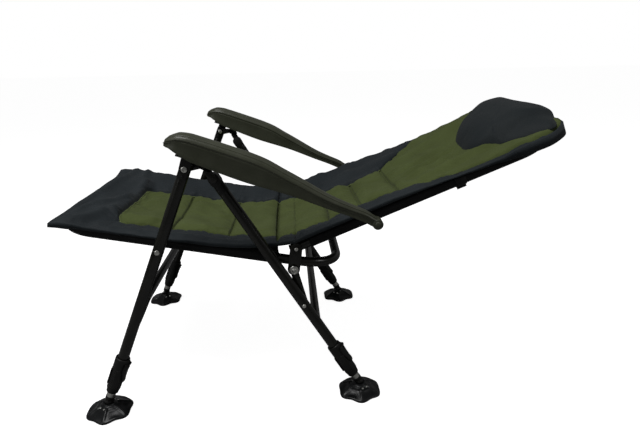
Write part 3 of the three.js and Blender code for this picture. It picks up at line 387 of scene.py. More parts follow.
def bent_tube(corners, radii, radius, segments=28, bend_steps=12):
    """A round tube pushed along straight runs and spun round its bends."""
    bm = bmesh.new()
    points = [Vector(c) for c in corners]
    heading = (points[1] - points[0]).normalized()
    turn = heading.to_track_quat("Z", "Y").to_matrix().to_4x4()
    bmesh.ops.create_circle(bm, radius=radius, segments=segments,
                            matrix=Matrix.Translation(points[0]) @ turn)
    ring = bm.edges[:]
    bmesh.ops.edgeloop_fill(bm, edges=ring)
    start = points[0]

    def pushed(edges, by):
        made = bmesh.ops.extrude_edge_only(bm, edges=edges)["geom"]
        verts = {g for g in made if isinstance(g, bmesh.types.BMVert)}
        bmesh.ops.translate(bm, verts=list(verts), vec=by)
        return [g for g in made if isinstance(g, bmesh.types.BMEdge) and verts.issuperset(g.verts)]

    for corner, after, bend in zip(points[1:-1], points[2:], radii):
        ahead = (after - corner).normalized()
        angle = heading.angle(ahead)
        setback = bend * math.tan(angle / 2)
        begin = corner - heading * setback
        ring = pushed(ring, begin - start)
        axis = heading.cross(ahead).normalized()
        made = bmesh.ops.spin(bm, geom=ring, cent=begin + axis.cross(heading) * bend, axis=axis,
                              angle=angle, steps=bend_steps, use_duplicate=False)["geom_last"]
        ring = [g for g in made if isinstance(g, bmesh.types.BMEdge)]
        start = corner + ahead * setback
        heading = ahead
    ring = pushed(ring, points[-1] - start)
    bmesh.ops.edgeloop_fill(bm, edges=ring)
    return bm


def rounded(bm, width, segments=2, angle=50):
    """Bevels the edges that turn more than the angle."""
    bmesh.ops.recalc_face_normals(bm, faces=bm.faces[:])
    sharp = [e for e in bm.edges if e.is_manifold and e.calc_face_angle(0) > math.radians(angle)]
    bmesh.ops.bevel(bm, geom=sharp, offset=width, segments=segments, profile=0.5, affect="EDGES", material=-1)
    return bm


def block(size, centre, width=1.0, segments=3):
    bm = bmesh.new()
    bmesh.ops.create_cube(bm, size=1.0)
    bm.transform(Matrix.Translation(centre) @ Matrix.Diagonal((*size, 1)))
    return rounded(bm, width, segments)


def disc_plate(discs, x0, x1, width=0.6):
    """The plate stretched round discs of (y, z, radius), between two planes across X."""
    bm = bmesh.new()
    turn = Matrix.Rotation(math.pi / 2, 4, "Y")
    for y, z, radius in discs:
        bmesh.ops.create_cone(bm, cap_ends=False, segments=40, radius1=radius, radius2=radius, depth=x1 - x0,
                              matrix=Matrix.Translation(((x0 + x1) / 2, y, z)) @ turn)
    bmesh.ops.delete(bm, geom=bm.faces[:], context="FACES_ONLY")
    bmesh.ops.delete(bm, geom=bm.edges[:], context="EDGES_FACES")
    hull = bmesh.ops.convex_hull(bm, input=bm.verts[:])
    spare = [g for g in hull["geom_interior"] + hull["geom_unused"] if isinstance(g, bmesh.types.BMVert)]
    bmesh.ops.delete(bm, geom=list(set(spare)), context="VERTS")
    bmesh.ops.dissolve_limit(bm, angle_limit=math.radians(2), verts=bm.verts[:], edges=bm.edges[:])
    return rounded(bm, width)


def added(name, data):
    made = bpy.data.objects.new(name, data)
    bpy.context.scene.collection.objects.link(made)
    return made


def finished(name, bm, where, body, covers, look, side=1):
    """A drawn mesh put in its place, smoothed, and set riding on its body."""
    slot, sharp, *finishes = LOOKS[look]
    mirror = Matrix.Identity(4) if side > 0 else Matrix.Scale(-1, 4, (1, 0, 0))
    bm.transform(mirror @ where)
    bmesh.ops.recalc_face_normals(bm, faces=bm.faces[:])
    mesh = bpy.data.meshes.new(name)
    bm.to_mesh(mesh)
    bm.free()
    for finish in finishes:
        mesh.materials.append(FINISH[finish])
    mesh.shade_smooth()
    mesh.set_sharp_from_angle(angle=math.radians(sharp))
    piece = added(name, mesh)
    if body:
        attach(piece, body)
    if covers:
        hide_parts(covers)
    return piece


def both_sides(*rows):
    """Finishes each row's drawing on the left and mirrored on the right; * stands for the side's name."""
    for side, sign in SIDES:
        for name, bm, where, body, covers, look in rows:
            name, body, covers = (text.replace("*", side) for text in (name, body, covers))
            finished(name, bm.copy(), where, body, covers, look, sign)
    for row in rows:
        row[1].free()


def stations(start, end, step, seams, reach, fine):
    """Places from start to end, closer together near the seams."""
    places = [start]
    while places[-1] < end - fine * 0.5:
        near = min(abs(places[-1] + fine - seam) for seam in seams)
        places.append(min(end, places[-1] + (fine if near < reach else step)))
    places[-1] = end
    return places


def smooth_step(low, high, value):
    t = min(1.0, max(0.0, (value - low) / (high - low)))
    return t * t * (3 - 2 * t)


def along(table, at):
    """A smooth curve through a table of rows, the first column being the place."""
    if at <= table[0][0]:
        return table[0][1:]
    if at >= table[-1][0]:
        return table[-1][1:]
    i = next(k for k in range(1, len(table)) if table[k][0] >= at)
    p0, p1, p2, p3 = (table[min(max(k, 0), len(table) - 1)] for k in (i - 2, i - 1, i, i + 1))
    t = (at - p1[0]) / (p2[0] - p1[0])
    row = []
    for a, b, c, d in zip(p0[1:], p1[1:], p2[1:], p3[1:]):
        bend = (2 * a - 5 * b + 4 * c - d) * t * t + (3 * b - a - 3 * c + d) * t ** 3
        row.append(0.5 * (2 * b + (c - a) * t + bend))
    return row


# Frame and legs


def bow(start, end, height, bend, radius, *detail):
    """A tube along one rail, across and back along the other."""
    corners = [(x, y, height) for x, y in ((RAIL_X, start), (RAIL_X, end), (-RAIL_X, end), (-RAIL_X, start))]
    return bent_tube(corners, (bend, bend), radius, *detail)


def armrest_stub():
    """The stub on the back's tube that an armrest turns on."""
    bm = turned_x([(0, 247.2), (6.3, 247.2), (6.5, 247.5), (6.5, 260), (4.2, 260.4), (4, 261), (4, 279.4),
                   (3.6, 279.7), (0, 279.7)])
    bm.transform(Matrix.Translation((0, HUB_Y_ON_BACK, 0)))
    return bm


class CHAIR_OT_frame(bpy.types.Operator):
    """Builds the seat, rear and back tubes"""

    bl_idname = "carp_chair.frame"
    bl_label = "Frame tubes"

    def execute(self, context):
        radius = sizes().frame_tube / 2 / MM
        seat = bow(0, -SEAT_REACH, -RAIL_DROP, SEAT_BEND, radius)
        finished("seat_tube", seat, SEAT, "seat", "seat_frame", "tube")
        rear = bow(BOW_START, BOW_REACH, -RAIL_DROP, BOW_BEND, radius)
        finished("rear_bow_tube", rear, SEAT, "seat", "rear_bow", "tube")
        back = bow(BACK_START, BACK_REACH, 0, BACK_BEND, radius)
        for sign in (1, -1):
            gathered(back, armrest_stub(), Matrix.Scale(sign, 4, (1, 0, 0)))
        finished("back_tube", back, BACK, "backrest", "back_frame", "tube")
        return {"FINISHED"}


def leg_pipe(x, z0, z1):
    radius = sizes().leg_tube / 2 / MM
    inner, rim = radius - LEG_WALL, radius - LEG_RIM
    bm = turned([(inner, z0), (rim, z0), (radius, z0 + LEG_RIM), (radius, z1 - LEG_RIM), (rim, z1),
                 (inner, z1), (inner, z0)])
    bm.transform(Matrix.Translation((x, 0, 0)))
    return bm


def front_leg_fitting():
    """A domed cap over a front leg's top, with a small rivet head."""
    top = FRONT_LEG_Z[1]
    inner = FITTING_R - 0.18
    bm = turned([(0, top - 5), (inner, top - 5), (inner, top - 32), (FITTING_R, top - 31.6),
                 (FITTING_R, top - 6), (11.5, top - 2), (9.5, top + 1.2), (6, top + 3.6), (3, top + 4.3),
                 (0, top + 4.5)])
    rivet = turned_x([(0, 0), (2.4, 0), (2.4, 0.7), (1.6, 1.3), (0, 1.5)])
    return gathered(bm, rivet, Matrix.Translation((FITTING_R - 0.1, 0, TOP_PIVOT_Z - 16)))


def rear_leg_fitting():
    """A collar with a rounded knuckle on a rear leg's top."""
    top = REAR_LEG_Z[1]
    inner, knuckle = FITTING_R - 0.18, FITTING_R - 0.3
    bm = turned([(0, top - 5), (inner, top - 5), (inner, top - 24), (FITTING_R, top - 23.6),
                 (FITTING_R, top + 0.3), (0, top + 0.3)])
    discs = [(0, REAR_TOP_Z, knuckle), (0, REAR_TOP_Z - 8, knuckle)]
    return gathered(bm, disc_plate(discs, -knuckle, knuckle, 1.6))


def front_brace():
    """A tube from leg to leg that steps up between two bends at each end."""
    low, high = (up + FRONT_FOOT_Z for up in FRONT_BRACE_UP)
    end, shoulder = FRONT_BRACE_X
    foot = end - FRONT_BRACE_BEND
    return bent_tube([(end, 0, low), (foot, 0, low), (shoulder, 0, high), (-shoulder, 0, high),
                      (-foot, 0, low), (-end, 0, low)], (FRONT_BRACE_BEND,) * 4, BRACE_R, bend_steps=8)


def rear_brace():
    end, rim, inner = REAR_BRACE_END, REAR_BRACE_END - 0.5, BRACE_R - 0.5
    bm = turned_x([(0, -end), (inner, -end), (BRACE_R, -rim), (BRACE_R, rim), (inner, end), (0, end)])
    bm.transform(Matrix.Translation((0, 0, REAR_BRACE_Z)))
    return bm


class CHAIR_OT_legs(bpy.types.Operator):
    """Builds the leg tubes, their end fittings and the braces"""

    bl_idname = "carp_chair.legs"
    bl_label = "Legs and braces"

    def execute(self, context):
        front = FRONT @ Matrix.Translation((FRONT_LEG_X, 0, 0))
        rear = REAR @ Matrix.Translation((REAR_LEG_X, 0, 0))
        front_pipe = leg_pipe(FRONT_LEG_X, *FRONT_LEG_Z)
        rear_pipe = leg_pipe(REAR_LEG_X, *REAR_LEG_Z)
        both_sides(
            ("front_leg_tube_*", front_pipe, FRONT, "front_legs", "front_leg_*", "tube"),
            ("rear_leg_tube_*", rear_pipe, REAR, "rear_legs", "rear_leg_*", "tube"),
            ("front_leg_fitting_*", front_leg_fitting(), front, "front_legs", "front_leg_cap_*", "plastic"),
            ("rear_leg_fitting_*", rear_leg_fitting(), rear, "rear_legs", "rear_leg_cap_*", "plastic"))
        finished("front_brace_tube", front_brace(), FRONT, "front_legs", "front_brace", "tube")
        finished("rear_brace_tube", rear_brace(), REAR, "rear_legs", "rear_brace", "tube")
        return {"FINISHED"}


def pin(inner, outer, head=4.6, height=2.2, dome=True, inner_height=2.6):
    """A rivet along X from one face to another: a head outside each face."""
    head_inner, shank = 6, 4
    start = inner - inner_height
    profile = [(0, start), (head_inner * 0.8, start), (head_inner, start + 0.6), (head_inner, inner),
               (shank, inner), (shank, outer), (head, outer), (head, outer + 0.5)]
    # Shares of the head's radius and height
    shares = (((0.9, 0.5), (0.65, 0.85), (0.3, 1), (0, 1)) if dome else
              ((0.95, 0.8), (0.8, 1), (0.52, 1), (0.45, 0.3), (0, 0.3)))
    return turned_x(profile + [(head * across, outer + height * up) for across, up in shares])


def leg_bracket():
    """A flat plate that hooks down from a front leg's top rivet."""
    bm = disc_plate([(0, 0, 10), (0, 0.5, 10)], *BRACKET_X)
    for discs in ([(0, 0, 10), (36, 2, 5)], [(30, 0, 6), (44, -6, 7)], [(41, -10, 8), (51, -28, 8)]):
        gathered(bm, disc_plate(discs, *BRACKET_X))
    return bm


def link_bolt():
    """A rivet through plate and link, with a dished disc outside them."""
    face = LINK_X[1] + 0.3
    bm = turned_x([(0, 243.3), (5, 243.3), (6, 244), (6, 248), (4, 248), (4, face), (10.5, face),
                   (10.5, face + 2), (9.8, face + 3.4), (8.6, face + 4), (7.6, face + 4), (7, face + 3.2),
                   (4.6, face + 3), (3.8, face + 4.2), (2.2, face + 5.2), (0, face + 5.4)], 48)
    bm.transform(Matrix.Translation((0, *LINK_PIVOT)))
    return bm


def front_bolt():
    """A stepped bolt from the seat's rail through a front leg."""
    bm = turned_x([(0, 248.3), (6.3, 248.3), (6.5, 248.5), (6.5, 282.5), (6.3, 282.7), (4, 282.7),
                   (4, 307.3), (5.4, 307.3), (5.6, 307.7), (5.2, 308.9), (3.6, 309.8), (0, 310)])
    bm.transform(Matrix.Translation((0, FRONT_PIVOT_Y, -RAIL_DROP)))
    return bm


class CHAIR_OT_hardware(bpy.types.Operator):
    """Builds the side plates, links, rivets and pins"""

    bl_idname = "carp_chair.hardware"
    bl_label = "Plates and rivets"

    def execute(self, context):
        plate = disc_plate([(0, 0, HINGE_PLATE_R), (*LINK_PIVOT, HINGE_PLATE_R)], *HINGE_PLATE_X)
        bar = disc_plate([(0, 0, LINK_R), (LINK_LENGTH, 0, LINK_R)], *LINK_X)
        top = pin(BRACKET_X[0] - 0.3, FRONT_LEG_OUTSIDE, head=6.2, height=2.4, dome=False)
        lower = pin(HINGE_PLATE_X[1] + 0.1, BRACKET_X[0])
        hinge = pin(HINGE_PIN_START, HINGE_PLATE_X[1] + 0.3, inner_height=5)
        both_sides(
            ("hinge_plate_*", plate, SEAT, "seat", "hinge_bracket_*", "tube"),
            ("swing_link_*", bar, LINK, "link_*", "link_*", "tube"),
            ("leg_bracket_plate_*", leg_bracket(), BRACKET, "leg_bracket_*", "leg_bracket_*", "tube"),
            ("link_bolt_*", link_bolt(), SEAT, "seat", "link_disc_*", "metal"),
            ("front_bolt_*", front_bolt(), SEAT, "seat", "front_pivot_*", "metal"),
            ("top_rivet_*", top, BRACKET, "leg_bracket_*", "top_pivot_*", "metal"),
            ("lower_rivet_*", lower, REAR, "rear_legs", "link_rivet_*", "metal"),
            ("hinge_rivet_*", hinge, SEAT, "back_hinge", "back_pin_*", "metal"))
        return {"FINISHED"}


# Telescopic legs and feet


def clamp_sleeve():
    """A grooved sleeve round a leg's lower end, with ears and a pin for its lever."""
    ripples = []
    for i in range(9):
        z = 76 + i * 5
        ripples += [(15.0, z), (15.5, z + 1.2), (15.5, z + 2.8), (15.0, z + 4)]
    foot = [(10.3, 58.6), (11, 58), (12.4, 58), (13.2, 59), (13.5, 62), (14.2, 67), (15.2, 70.5), (15.2, 74)]
    collar = [(15.4, 122), (16, 126), (16, 146.8), (15.6, 149.2), (14.6, 150), (12.9, 150), (12.4, 149.4),
              (12.4, 69.8), (10.3, 69.8), (10.3, 58.6)]
    bm = turned(foot + ripples + collar, 56)
    for x in (-1, 1):
        ear = disc_plate([(LEVER_OUT - 1, LEVER_UP, 3.6), (11, LEVER_UP - 6.5, 5.5)], 6.4, 9.2, 0.8)
        gathered(bm, ear, Matrix.Scale(x, 4, (1, 0, 0)))
        gathered(bm, block((2.6, 12, 46), (x * 14.6, 2, 98), 1.2))
    gathered(bm, block((18, 3.4, 40), (0, -14.9, 100), 1.4))
    lever_pin = turned_x([(0, -9.6), (2, -9.6), (2, 9.6), (0, 9.6)], 16)
    return gathered(bm, lever_pin, Matrix.Translation((0, LEVER_OUT, LEVER_UP)))


def lever_shell():
    """A curved shell that wraps the back of the sleeve, drawn about the sleeve's axis."""
    outline = [(16.3, 4.2), (17.4, 5.2), (18.8, 4.6), (19.6, 0.5), (18.8, -14), (18.5, -30), (19.4, -40),
               (18.8, -43), (17.6, -42), (16.7, -34), (16.4, -24)]
    bm = bmesh.new()
    verts = [bm.verts.new((0, radius, z)) for radius, z in outline]
    face = bm.faces.new(verts)
    half = math.radians(62)
    bmesh.ops.rotate(bm, verts=bm.verts[:], cent=(0, 0, 0), matrix=Matrix.Rotation(-half, 3, "Z"))
    bmesh.ops.spin(bm, geom=[face], cent=(0, 0, 0), axis=(0, 0, 1), angle=2 * half, steps=20,
                   use_duplicate=False)
    for vert in bm.verts:
        angle = math.atan2(vert.co.x, vert.co.y)
        taper = 1 - 0.45 * smooth_step(-12, -44, vert.co.z) - 0.25 * smooth_step(0, 6, vert.co.z)
        reach = math.hypot(vert.co.x, vert.co.y)
        vert.co.x, vert.co.y = reach * math.sin(angle * taper), reach * math.cos(angle * taper)
    bmesh.ops.remove_doubles(bm, verts=bm.verts[:], dist=1e-3)
    rounded(bm, 0.5, 2, 60)
    bm.transform(Matrix.Translation((0, -LEVER_OUT, 0)))
    return bm


def inner_leg(ball_along):
    """A bright tube with a black end piece that holds the ball."""
    tip = ball_along + 7.3
    bm = turned([(7.2, tip), (8.6, tip - 0.4), (10.0, tip + 1.4), (10.3, tip + 3), (10.3, 45.6), (9.8, 46),
                 (9.8, 247.6), (9.4, 248), (8.3, 248), (8.3, 47), (0, 47), (0, ball_along + 9.6),
                 (4.2, ball_along + 9), (6.6, tip + 0.4), (7.2, tip)], 40)
    for face in bm.faces:
        face.material_index = 1 if face.calc_center_median().z < 45.9 else 0
    return bm


class CHAIR_OT_leg_locks(bpy.types.Operator):
    """Builds the clamps, lock levers and inner legs"""

    bl_idname = "carp_chair.leg_locks"
    bl_label = "Leg locks"

    def execute(self, context):
        for end, where, x, foot, lean in (("front", FRONT, FRONT_LEG_X, FRONT_FOOT_Z, FRONT_LEAN),
                                          ("rear", REAR, REAR_LEG_X, REAR_FOOT_Z, REAR_LEAN)):
            at = where @ Matrix.Translation((x, 0, foot))
            hinge = at @ Matrix.Translation((0, LEVER_OUT, LEVER_UP))
            inner = inner_leg(BALL_UP / math.cos(math.radians(lean)))
            lever, leg = f"lock_lever_{end}_*", f"inner_leg_{end}_*"
            both_sides(
                (f"{end}_clamp_sleeve_*", clamp_sleeve(), at, f"{end}_legs", f"{end}_clamp_*", "plastic"),
                (f"{end}_lever_*", lever_shell(), hinge, lever, lever, "plastic"),
                (f"{end}_inner_tube_*", inner, at, leg, leg, "inner tube"))
        return {"FINISHED"}


def mud_foot():
    """A lobed pad with ribs from its collar to its skirt."""
    underside = [(0, 0), (30, 0), (49.5, 0), (51.4, 0.8), (52, 2), (52, 4.6)]
    skirt = [(51.2, 5.8), (49, 6.9), (45, 8.8), (40, 11), (35, 13.2), (31, 15), (28.6, 16.4), (27.8, 17),
             (25.4, 17.4), (22, 18.2)]
    collar = [(19.4, 19), (18.2, 20), (17.6, 21.4), (16, 21.9), (15, 22.6), (14.6, 23.6), (14, 24.4),
              (11, 24.5)]
    socket = [(10.3, 23.8), (9.6, 20.5), (8, 17.6), (5, 15.8), (0, 15)]
    bm = turned(underside + skirt + collar + socket, 144)
    for vert in bm.verts:
        reach, angle = math.hypot(vert.co.x, vert.co.y), math.atan2(vert.co.y, vert.co.x)
        if reach < 11:
            continue
        hollow = (1 - math.cos(6 * angle)) / 2
        swell = 1 - 0.085 * smooth_step(15, 50, reach) * hollow ** 0.8
        vert.co.z += 2.6 * hollow ** 1.5 * smooth_step(36, 51, reach)
        if vert.co.z > 6:
            off = math.radians(abs((math.degrees(angle) + 30) % 60 - 30)) * reach
            rib = math.exp(-(off / 2.6) ** 4) * smooth_step(17, 20, reach) * (1 - smooth_step(46, 51, reach))
            dish = hollow * smooth_step(20, 34, reach) * (1 - smooth_step(42, 51, reach))
            vert.co.z += 2.0 * rib - 1.6 * dish
        vert.co.x *= swell
        vert.co.y *= swell
    return bm


def foot_screws(turn):
    """Four screw heads on a pad; turn is 1 or -1 for which way round they go."""
    whole = bmesh.new()
    for angle in (15, 50, 195, 230):
        screw = turned([(0, 0), (2.5, 0), (2.6, 0.6), (2.2, 1.5), (1.3, 2.0), (1.2, 1.4), (0, 1.4)], 24)
        spin = Matrix.Rotation(math.radians(angle * turn), 4, "Z")
        lean = Matrix.Rotation(math.radians(20), 4, "Y")
        gathered(whole, screw, spin @ Matrix.Translation((20.6, 0, 18.1)) @ lean)
    return whole


def foot_ball():
    """A ball of radius 9 whose middle is 26 above the floor."""
    quarter = [(2.3, 8.7), (4.5, 7.8), (6.4, 6.4), (7.8, 4.5), (8.7, 2.3)]
    lower = [(radius, BALL_UP - up) for radius, up in quarter]
    upper = [(radius, BALL_UP + up) for radius, up in reversed(quarter)]
    return turned([(0, BALL_UP - 9), *lower, (9, BALL_UP), *upper, (0, BALL_UP + 9)], 36)


class CHAIR_OT_feet(bpy.types.Operator):
    """Builds the ball feet and the mud feet"""

    bl_idname = "carp_chair.feet"
    bl_label = "Mud feet"

    def execute(self, context):
        for end, turn in (("front", -1), ("rear", 1)):
            low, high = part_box(f"foot_ball_{end}_left")
            centre = (low + high) / 2
            where = Matrix.Translation((abs(centre.x), centre.y, 0)) @ Matrix.Scale(MM, 4)
            ball, foot = f"foot_ball_{end}_*", f"mud_foot_{end}_*"
            both_sides((f"{end}_ball_*", foot_ball(), where, ball, ball, "plastic"),
                       (f"{end}_pad_*", mud_foot(), where, foot, foot, "foot"),
                       (f"{end}_pad_screws_*", foot_screws(turn), where, foot, "", "metal"))
        return {"FINISHED"}


# Armrests

# Shares of the length, then of the depth for underside and top, then of the half width
ARM_ROWS = [
    (0.0, 0.71, 0.97, 0.45), (0.011, 0.7, 1.1, 0.66), (0.026, 0.7, 1.21, 0.8), (0.048, 0.63, 1.34, 0.91),
    (0.087, 0.52, 1.41, 0.98), (0.12, 0.43, 1.42, 1.0), (0.238, 0.33, 1.4, 1.0), (0.36, 0.25, 1.36, 1.0),
    (0.438, 0.24, 1.28, 1.0), (0.52, 0.24, 1.1, 0.97), (0.6, 0.22, 0.93, 0.92), (0.687, 0.15, 0.73, 0.84),
    (0.771, 0.08, 0.56, 0.74), (0.854, 0.03, 0.46, 0.65), (0.936, -0.06, 0.38, 0.57), (1.0, -0.18, 0.22, 0.5),
]
ARM_DEPTH = 48.0
ARM_HALF = 28.0


def armrest_section(share, across):
    """Where the shell is, across running from -1 at one lower edge over the top to 1."""
    low, high, width = along(ARM_ROWS, share)
    w, z0, z1 = width * ARM_HALF, low * ARM_DEPTH, high * ARM_DEPTH
    r = min(12 * width, (z1 - z0) * 0.48)
    side, a = (1 if across > 0 else -1), abs(across)
    bead = 0.9 * math.exp(-((a - 0.535) / 0.014) ** 2) + 0.7 * math.exp(-((a - 0.41) / 0.014) ** 2)
    bead -= 1.2 * math.exp(-((a - 0.565) / 0.012) ** 2) + 0.9 * math.exp(-((a - 0.44) / 0.012) ** 2)
    if a > 0.55:
        t = (a - 0.55) / 0.45
        x, z = w - 0.8 * math.sin(t * math.pi), (z1 - r) + (z0 - z1 + r) * t
        if t > 0.9:
            x -= (t - 0.9) * 10
    elif a > 0.35:
        t = (a - 0.35) / 0.2 * math.pi / 2
        x, z = (w - r) + r * math.sin(t), (z1 - r) + r * math.cos(t)
    else:
        t = a / 0.35
        x, z = (w - r) * t, z1 + 2.5 * width * (1 - t * t)
    return side * (x + bead * 0.5), z + bead * 0.6


def armrest_shell():
    bm = bmesh.new()
    half_across = stations(0, 0.62, 0.035, (0.42, 0.545), 0.04, 0.006) + [0.68, 0.76, 0.84, 0.9, 0.94, 1.0]
    across = [-a for a in reversed(half_across[1:])] + half_across
    bmesh.ops.create_grid(bm, x_segments=len(across) - 1, y_segments=90, size=1.0)
    for vert in bm.verts:
        share = ((vert.co.y + 1) / 2) ** 1.6
        x, z = armrest_section(share, across[round((vert.co.x + 1) / 2 * (len(across) - 1))])
        vert.co = (x, share * (ARM_NOSE + ARM_LENGTH) - ARM_NOSE, z)
    for end in (-ARM_NOSE, ARM_LENGTH):
        edges = [e for e in bm.edges if e.is_boundary and all(abs(v.co.y - end) < 0.5 for v in e.verts)]
        made = bmesh.ops.extrude_edge_only(bm, edges=edges)["geom"]
        verts = [g for g in made if isinstance(g, bmesh.types.BMVert)]
        centre = sum((v.co for v in verts), Vector()) / len(verts)
        bmesh.ops.scale(bm, vec=(0.0, 1.0, 0.0), verts=verts, space=Matrix.Translation(-centre))
        bmesh.ops.remove_doubles(bm, verts=verts, dist=0.05)
    bmesh.ops.recalc_face_normals(bm, faces=bm.faces[:])
    # The highest face always looks up
    if max(bm.faces, key=lambda f: f.calc_center_median().z).normal.z < 0:
        bmesh.ops.reverse_faces(bm, faces=bm.faces[:])
    bm.normal_update()
    inward = {v: v.normal.copy() for v in bm.verts}
    made = bmesh.ops.duplicate(bm, geom=bm.verts[:] + bm.edges[:] + bm.faces[:])
    for outer, inner in made["vert_map"].items():
        if outer in inward:
            inner.co = outer.co - inward[outer] * 2.4
    bmesh.ops.reverse_faces(bm, faces=[g for g in made["geom"] if isinstance(g, bmesh.types.BMFace)])
    bmesh.ops.bridge_loops(bm, edges=[e for e in bm.edges if e.is_boundary])
    hub = turned_x([(0, -15), (9.5, -15), (11, -14.4), (11.5, -13), (11.5, 13), (11, 14.4), (9.5, 15),
                    (6.5, 15.2), (6, 16.4), (4, 17.2), (0, 17.4)], 48)
    gathered(bm, hub, Matrix.Translation((0, ARM_LENGTH, 0)))
    for y in range(-12, 136, 8):
        gathered(bm, block((16, 3.2, 10), (0, y + 0.1, 36.5), 0.8, 2))
    return gathered(bm, block((16, 160, 14), (0, 61, 46), 1.0, 2))


class CHAIR_OT_armrests(bpy.types.Operator):
    """Builds the armrests"""

    bl_idname = "carp_chair.armrests"
    bl_label = "Armrests"

    def execute(self, context):
        where = ARM @ Matrix.Translation((FRONT_LEG_X, 0, 0))
        both_sides(("armrest_shell_*", armrest_shell(), where, "armrest_*", "armrest_*", "armrest"))
        for side in ("left", "right"):
            shoe = frame["nodes"][f"armrest_slider_{side}"]
            shoe.data.materials.clear()
            shoe.data.materials.append(FINISH["moulding"])
        return {"FINISHED"}


# Slings, mattress and pillow


def sling_height(x):
    share = min(1.0, abs(x) / RAIL_X)
    return SLEEVE_R - SAG * (1 - share * share)


def sling(start, end, sleeve):
    """A sagging sheet between two rails, with the sleeve sewn along its sides and end."""
    bm = bmesh.new()
    bmesh.ops.create_grid(bm, x_segments=40, y_segments=30, size=1.0)
    for vert in bm.verts:
        x = vert.co.x * (RAIL_X - 4)
        y = start + (end - start) * (vert.co.y + 1) / 2
        ripple = 0.8 * noise.noise(Vector((x / 70, y / 45, 3)))
        vert.co = (x, y, sling_height(x) - 0.9 + ripple * (1 - abs(x) / RAIL_X))
    bmesh.ops.solidify(bm, geom=bm.faces[:], thickness=1.2)
    return gathered(bm, sleeve)


def strap():
    """A webbing loop round a rail with its sewn tab."""
    inner, outer, end = 13.1, 14.4, 12
    bm = turned([(inner, -end), (outer, -end), (14.7, -11.4), (14.7, 11.4), (outer, end), (inner, end),
                 (inner, -end)], 40)
    bm.transform(Matrix.Rotation(math.pi / 2, 4, "X"))
    return gathered(bm, block((1.6, 22, 9), (0, 0, -16), 0.5, 2))


class CHAIR_OT_slings(bpy.types.Operator):
    """Builds the slings and the straps that hold the mattress"""

    bl_idname = "carp_chair.slings"
    bl_label = "Slings and straps"

    def execute(self, context):
        radius = sizes().frame_tube / 2 / MM + SLEEVE_WALL
        sleeve = bow(SEAT_SLING_Y[1], -SEAT_REACH, 0, SEAT_BEND, radius, *SLEEVE_DETAIL)
        under = SEAT @ Matrix.Translation((0, 0, -RAIL_DROP))
        seat = sling(*SEAT_SLING_Y, sleeve)
        piece = finished("seat_sling_cloth", seat, under, "seat", "seat_sling", "seat sling")
        sleeve = bow(BACK_SLING_Y[0], BACK_REACH, 0, BACK_BEND, radius, *SLEEVE_DETAIL)
        back = sling(*BACK_SLING_Y, sleeve)
        for face in back.faces:
            centre = face.calc_center_median()
            on_sleeve = centre.y > BACK_SLING_Y[1] - 4 or abs(centre.x) > RAIL_X - 8
            face.material_index = 1 if on_sleeve and centre.y > NAVY_FROM else 0
        piece = finished("back_sling_cloth", back, BACK, "backrest", "back_sling", "back sling")
        at = BACK @ Matrix.Translation((RAIL_X, STRAP_Y, 0))
        both_sides(("back_strap_*", strap(), at, "backrest", "", "webbing"))
        return {"FINISHED"}


# The mattress: places along each half are measured from the hinge, heights from the rails' centre line

SEAT_SEAMS = (43, 154, 286)
BACK_SEAMS = (90, 170, 265)
# The two halves meet in a plane halfway between seat and back
CREASE = math.tan(math.radians((BACK_TILT - SEAT_TILT) / 2))
SEAT_LENGTH = 530.0
BACK_LENGTH = 661.0
BORDER_FROM = 145.0
PANEL_FRONT = 412.0
PANEL_CORNER = 28.0
PIPING_END = 425
HEAD_CORNER = 75.0
HEAD_WIDER = 2
HINGE_SECTION = 90.0
OVERLAP = 4.0
PADDING = 25.5
# The seat's padding rises towards the hinge, from so far along it
HINGE_RISE = 32
HINGE_RISE_FROM = 190
CORD_R = 1.2
# The olive panel's far and near edges, by place along each half
PANELS = {
    "seat": [(0, -150, 198), (40, -149, 195), (95, -145, 182), (203, -136, 176), (330, -126, 176),
             (412, -124, 176)],
    "back": [(0, -146, 196), (67, -114, 190), (110, -98, 190), (180, -90, 194), (267, -92, 203),
             (328, -142, 214), (365, -186, 222), (415, -242, 238), (661, -242, 238)]}
# Heights by place along each half: the border's inner part, its middle, its rim and the under face
# at the rim
NEAR_BORDER = {
    "seat": [(0, 22, 22, 25, 13), (122, 21, 21, 25, 12), (203, 17, 17, 22, 10), (300, 13, 13, 17, 8),
             (420, 12.5, 12.5, 16, 6), (530, 15, 14, 13, 3)],
    "back": [(0, 22, 22, 25, 14), (100, 21, 22, 27, 15), (250, 21, 22, 27, 15), (365, 17, 15, 19, 12),
             (478, 15, 14, 16, 4), (540, 19, 19, 21, -4), (661, 21, 20, 21, -4)]}
FAR_BORDER = {
    "seat": [(0, 23, 33, 39, 22), (530, 23, 33, 38, 22)],
    "back": [(0, 23, 33, 37, 20), (100, 17, 24, 30, 15), (200, 15, 20, 26, 13), (300, 14, 16, 20, 9),
             (400, 14, 15, 17, 3), (500, 17, 17, 19, 0), (600, 23, 24, 26, 2), (661, 25, 25, 25, 2)]}
# Heights by share of the way across the front border
FRONT_BORDER = [(0.0, 22.0), (0.25, 28.0), (0.6, 29.0), (0.85, 25.0), (1.0, 16.0)]
# Where the sling's sag fades out under each half
SAG_FADE = {"seat": (396, 432), "back": (430, 534)}


def rounded_box(x, s, width, length, radius):
    """How far inside a strip with rounded corners at its far end a point is."""
    dx, ds = abs(x) - (width - radius), s - (length - radius)
    if dx <= 0 or ds <= 0:
        return radius - max(dx, ds)
    return radius - math.hypot(dx, ds)


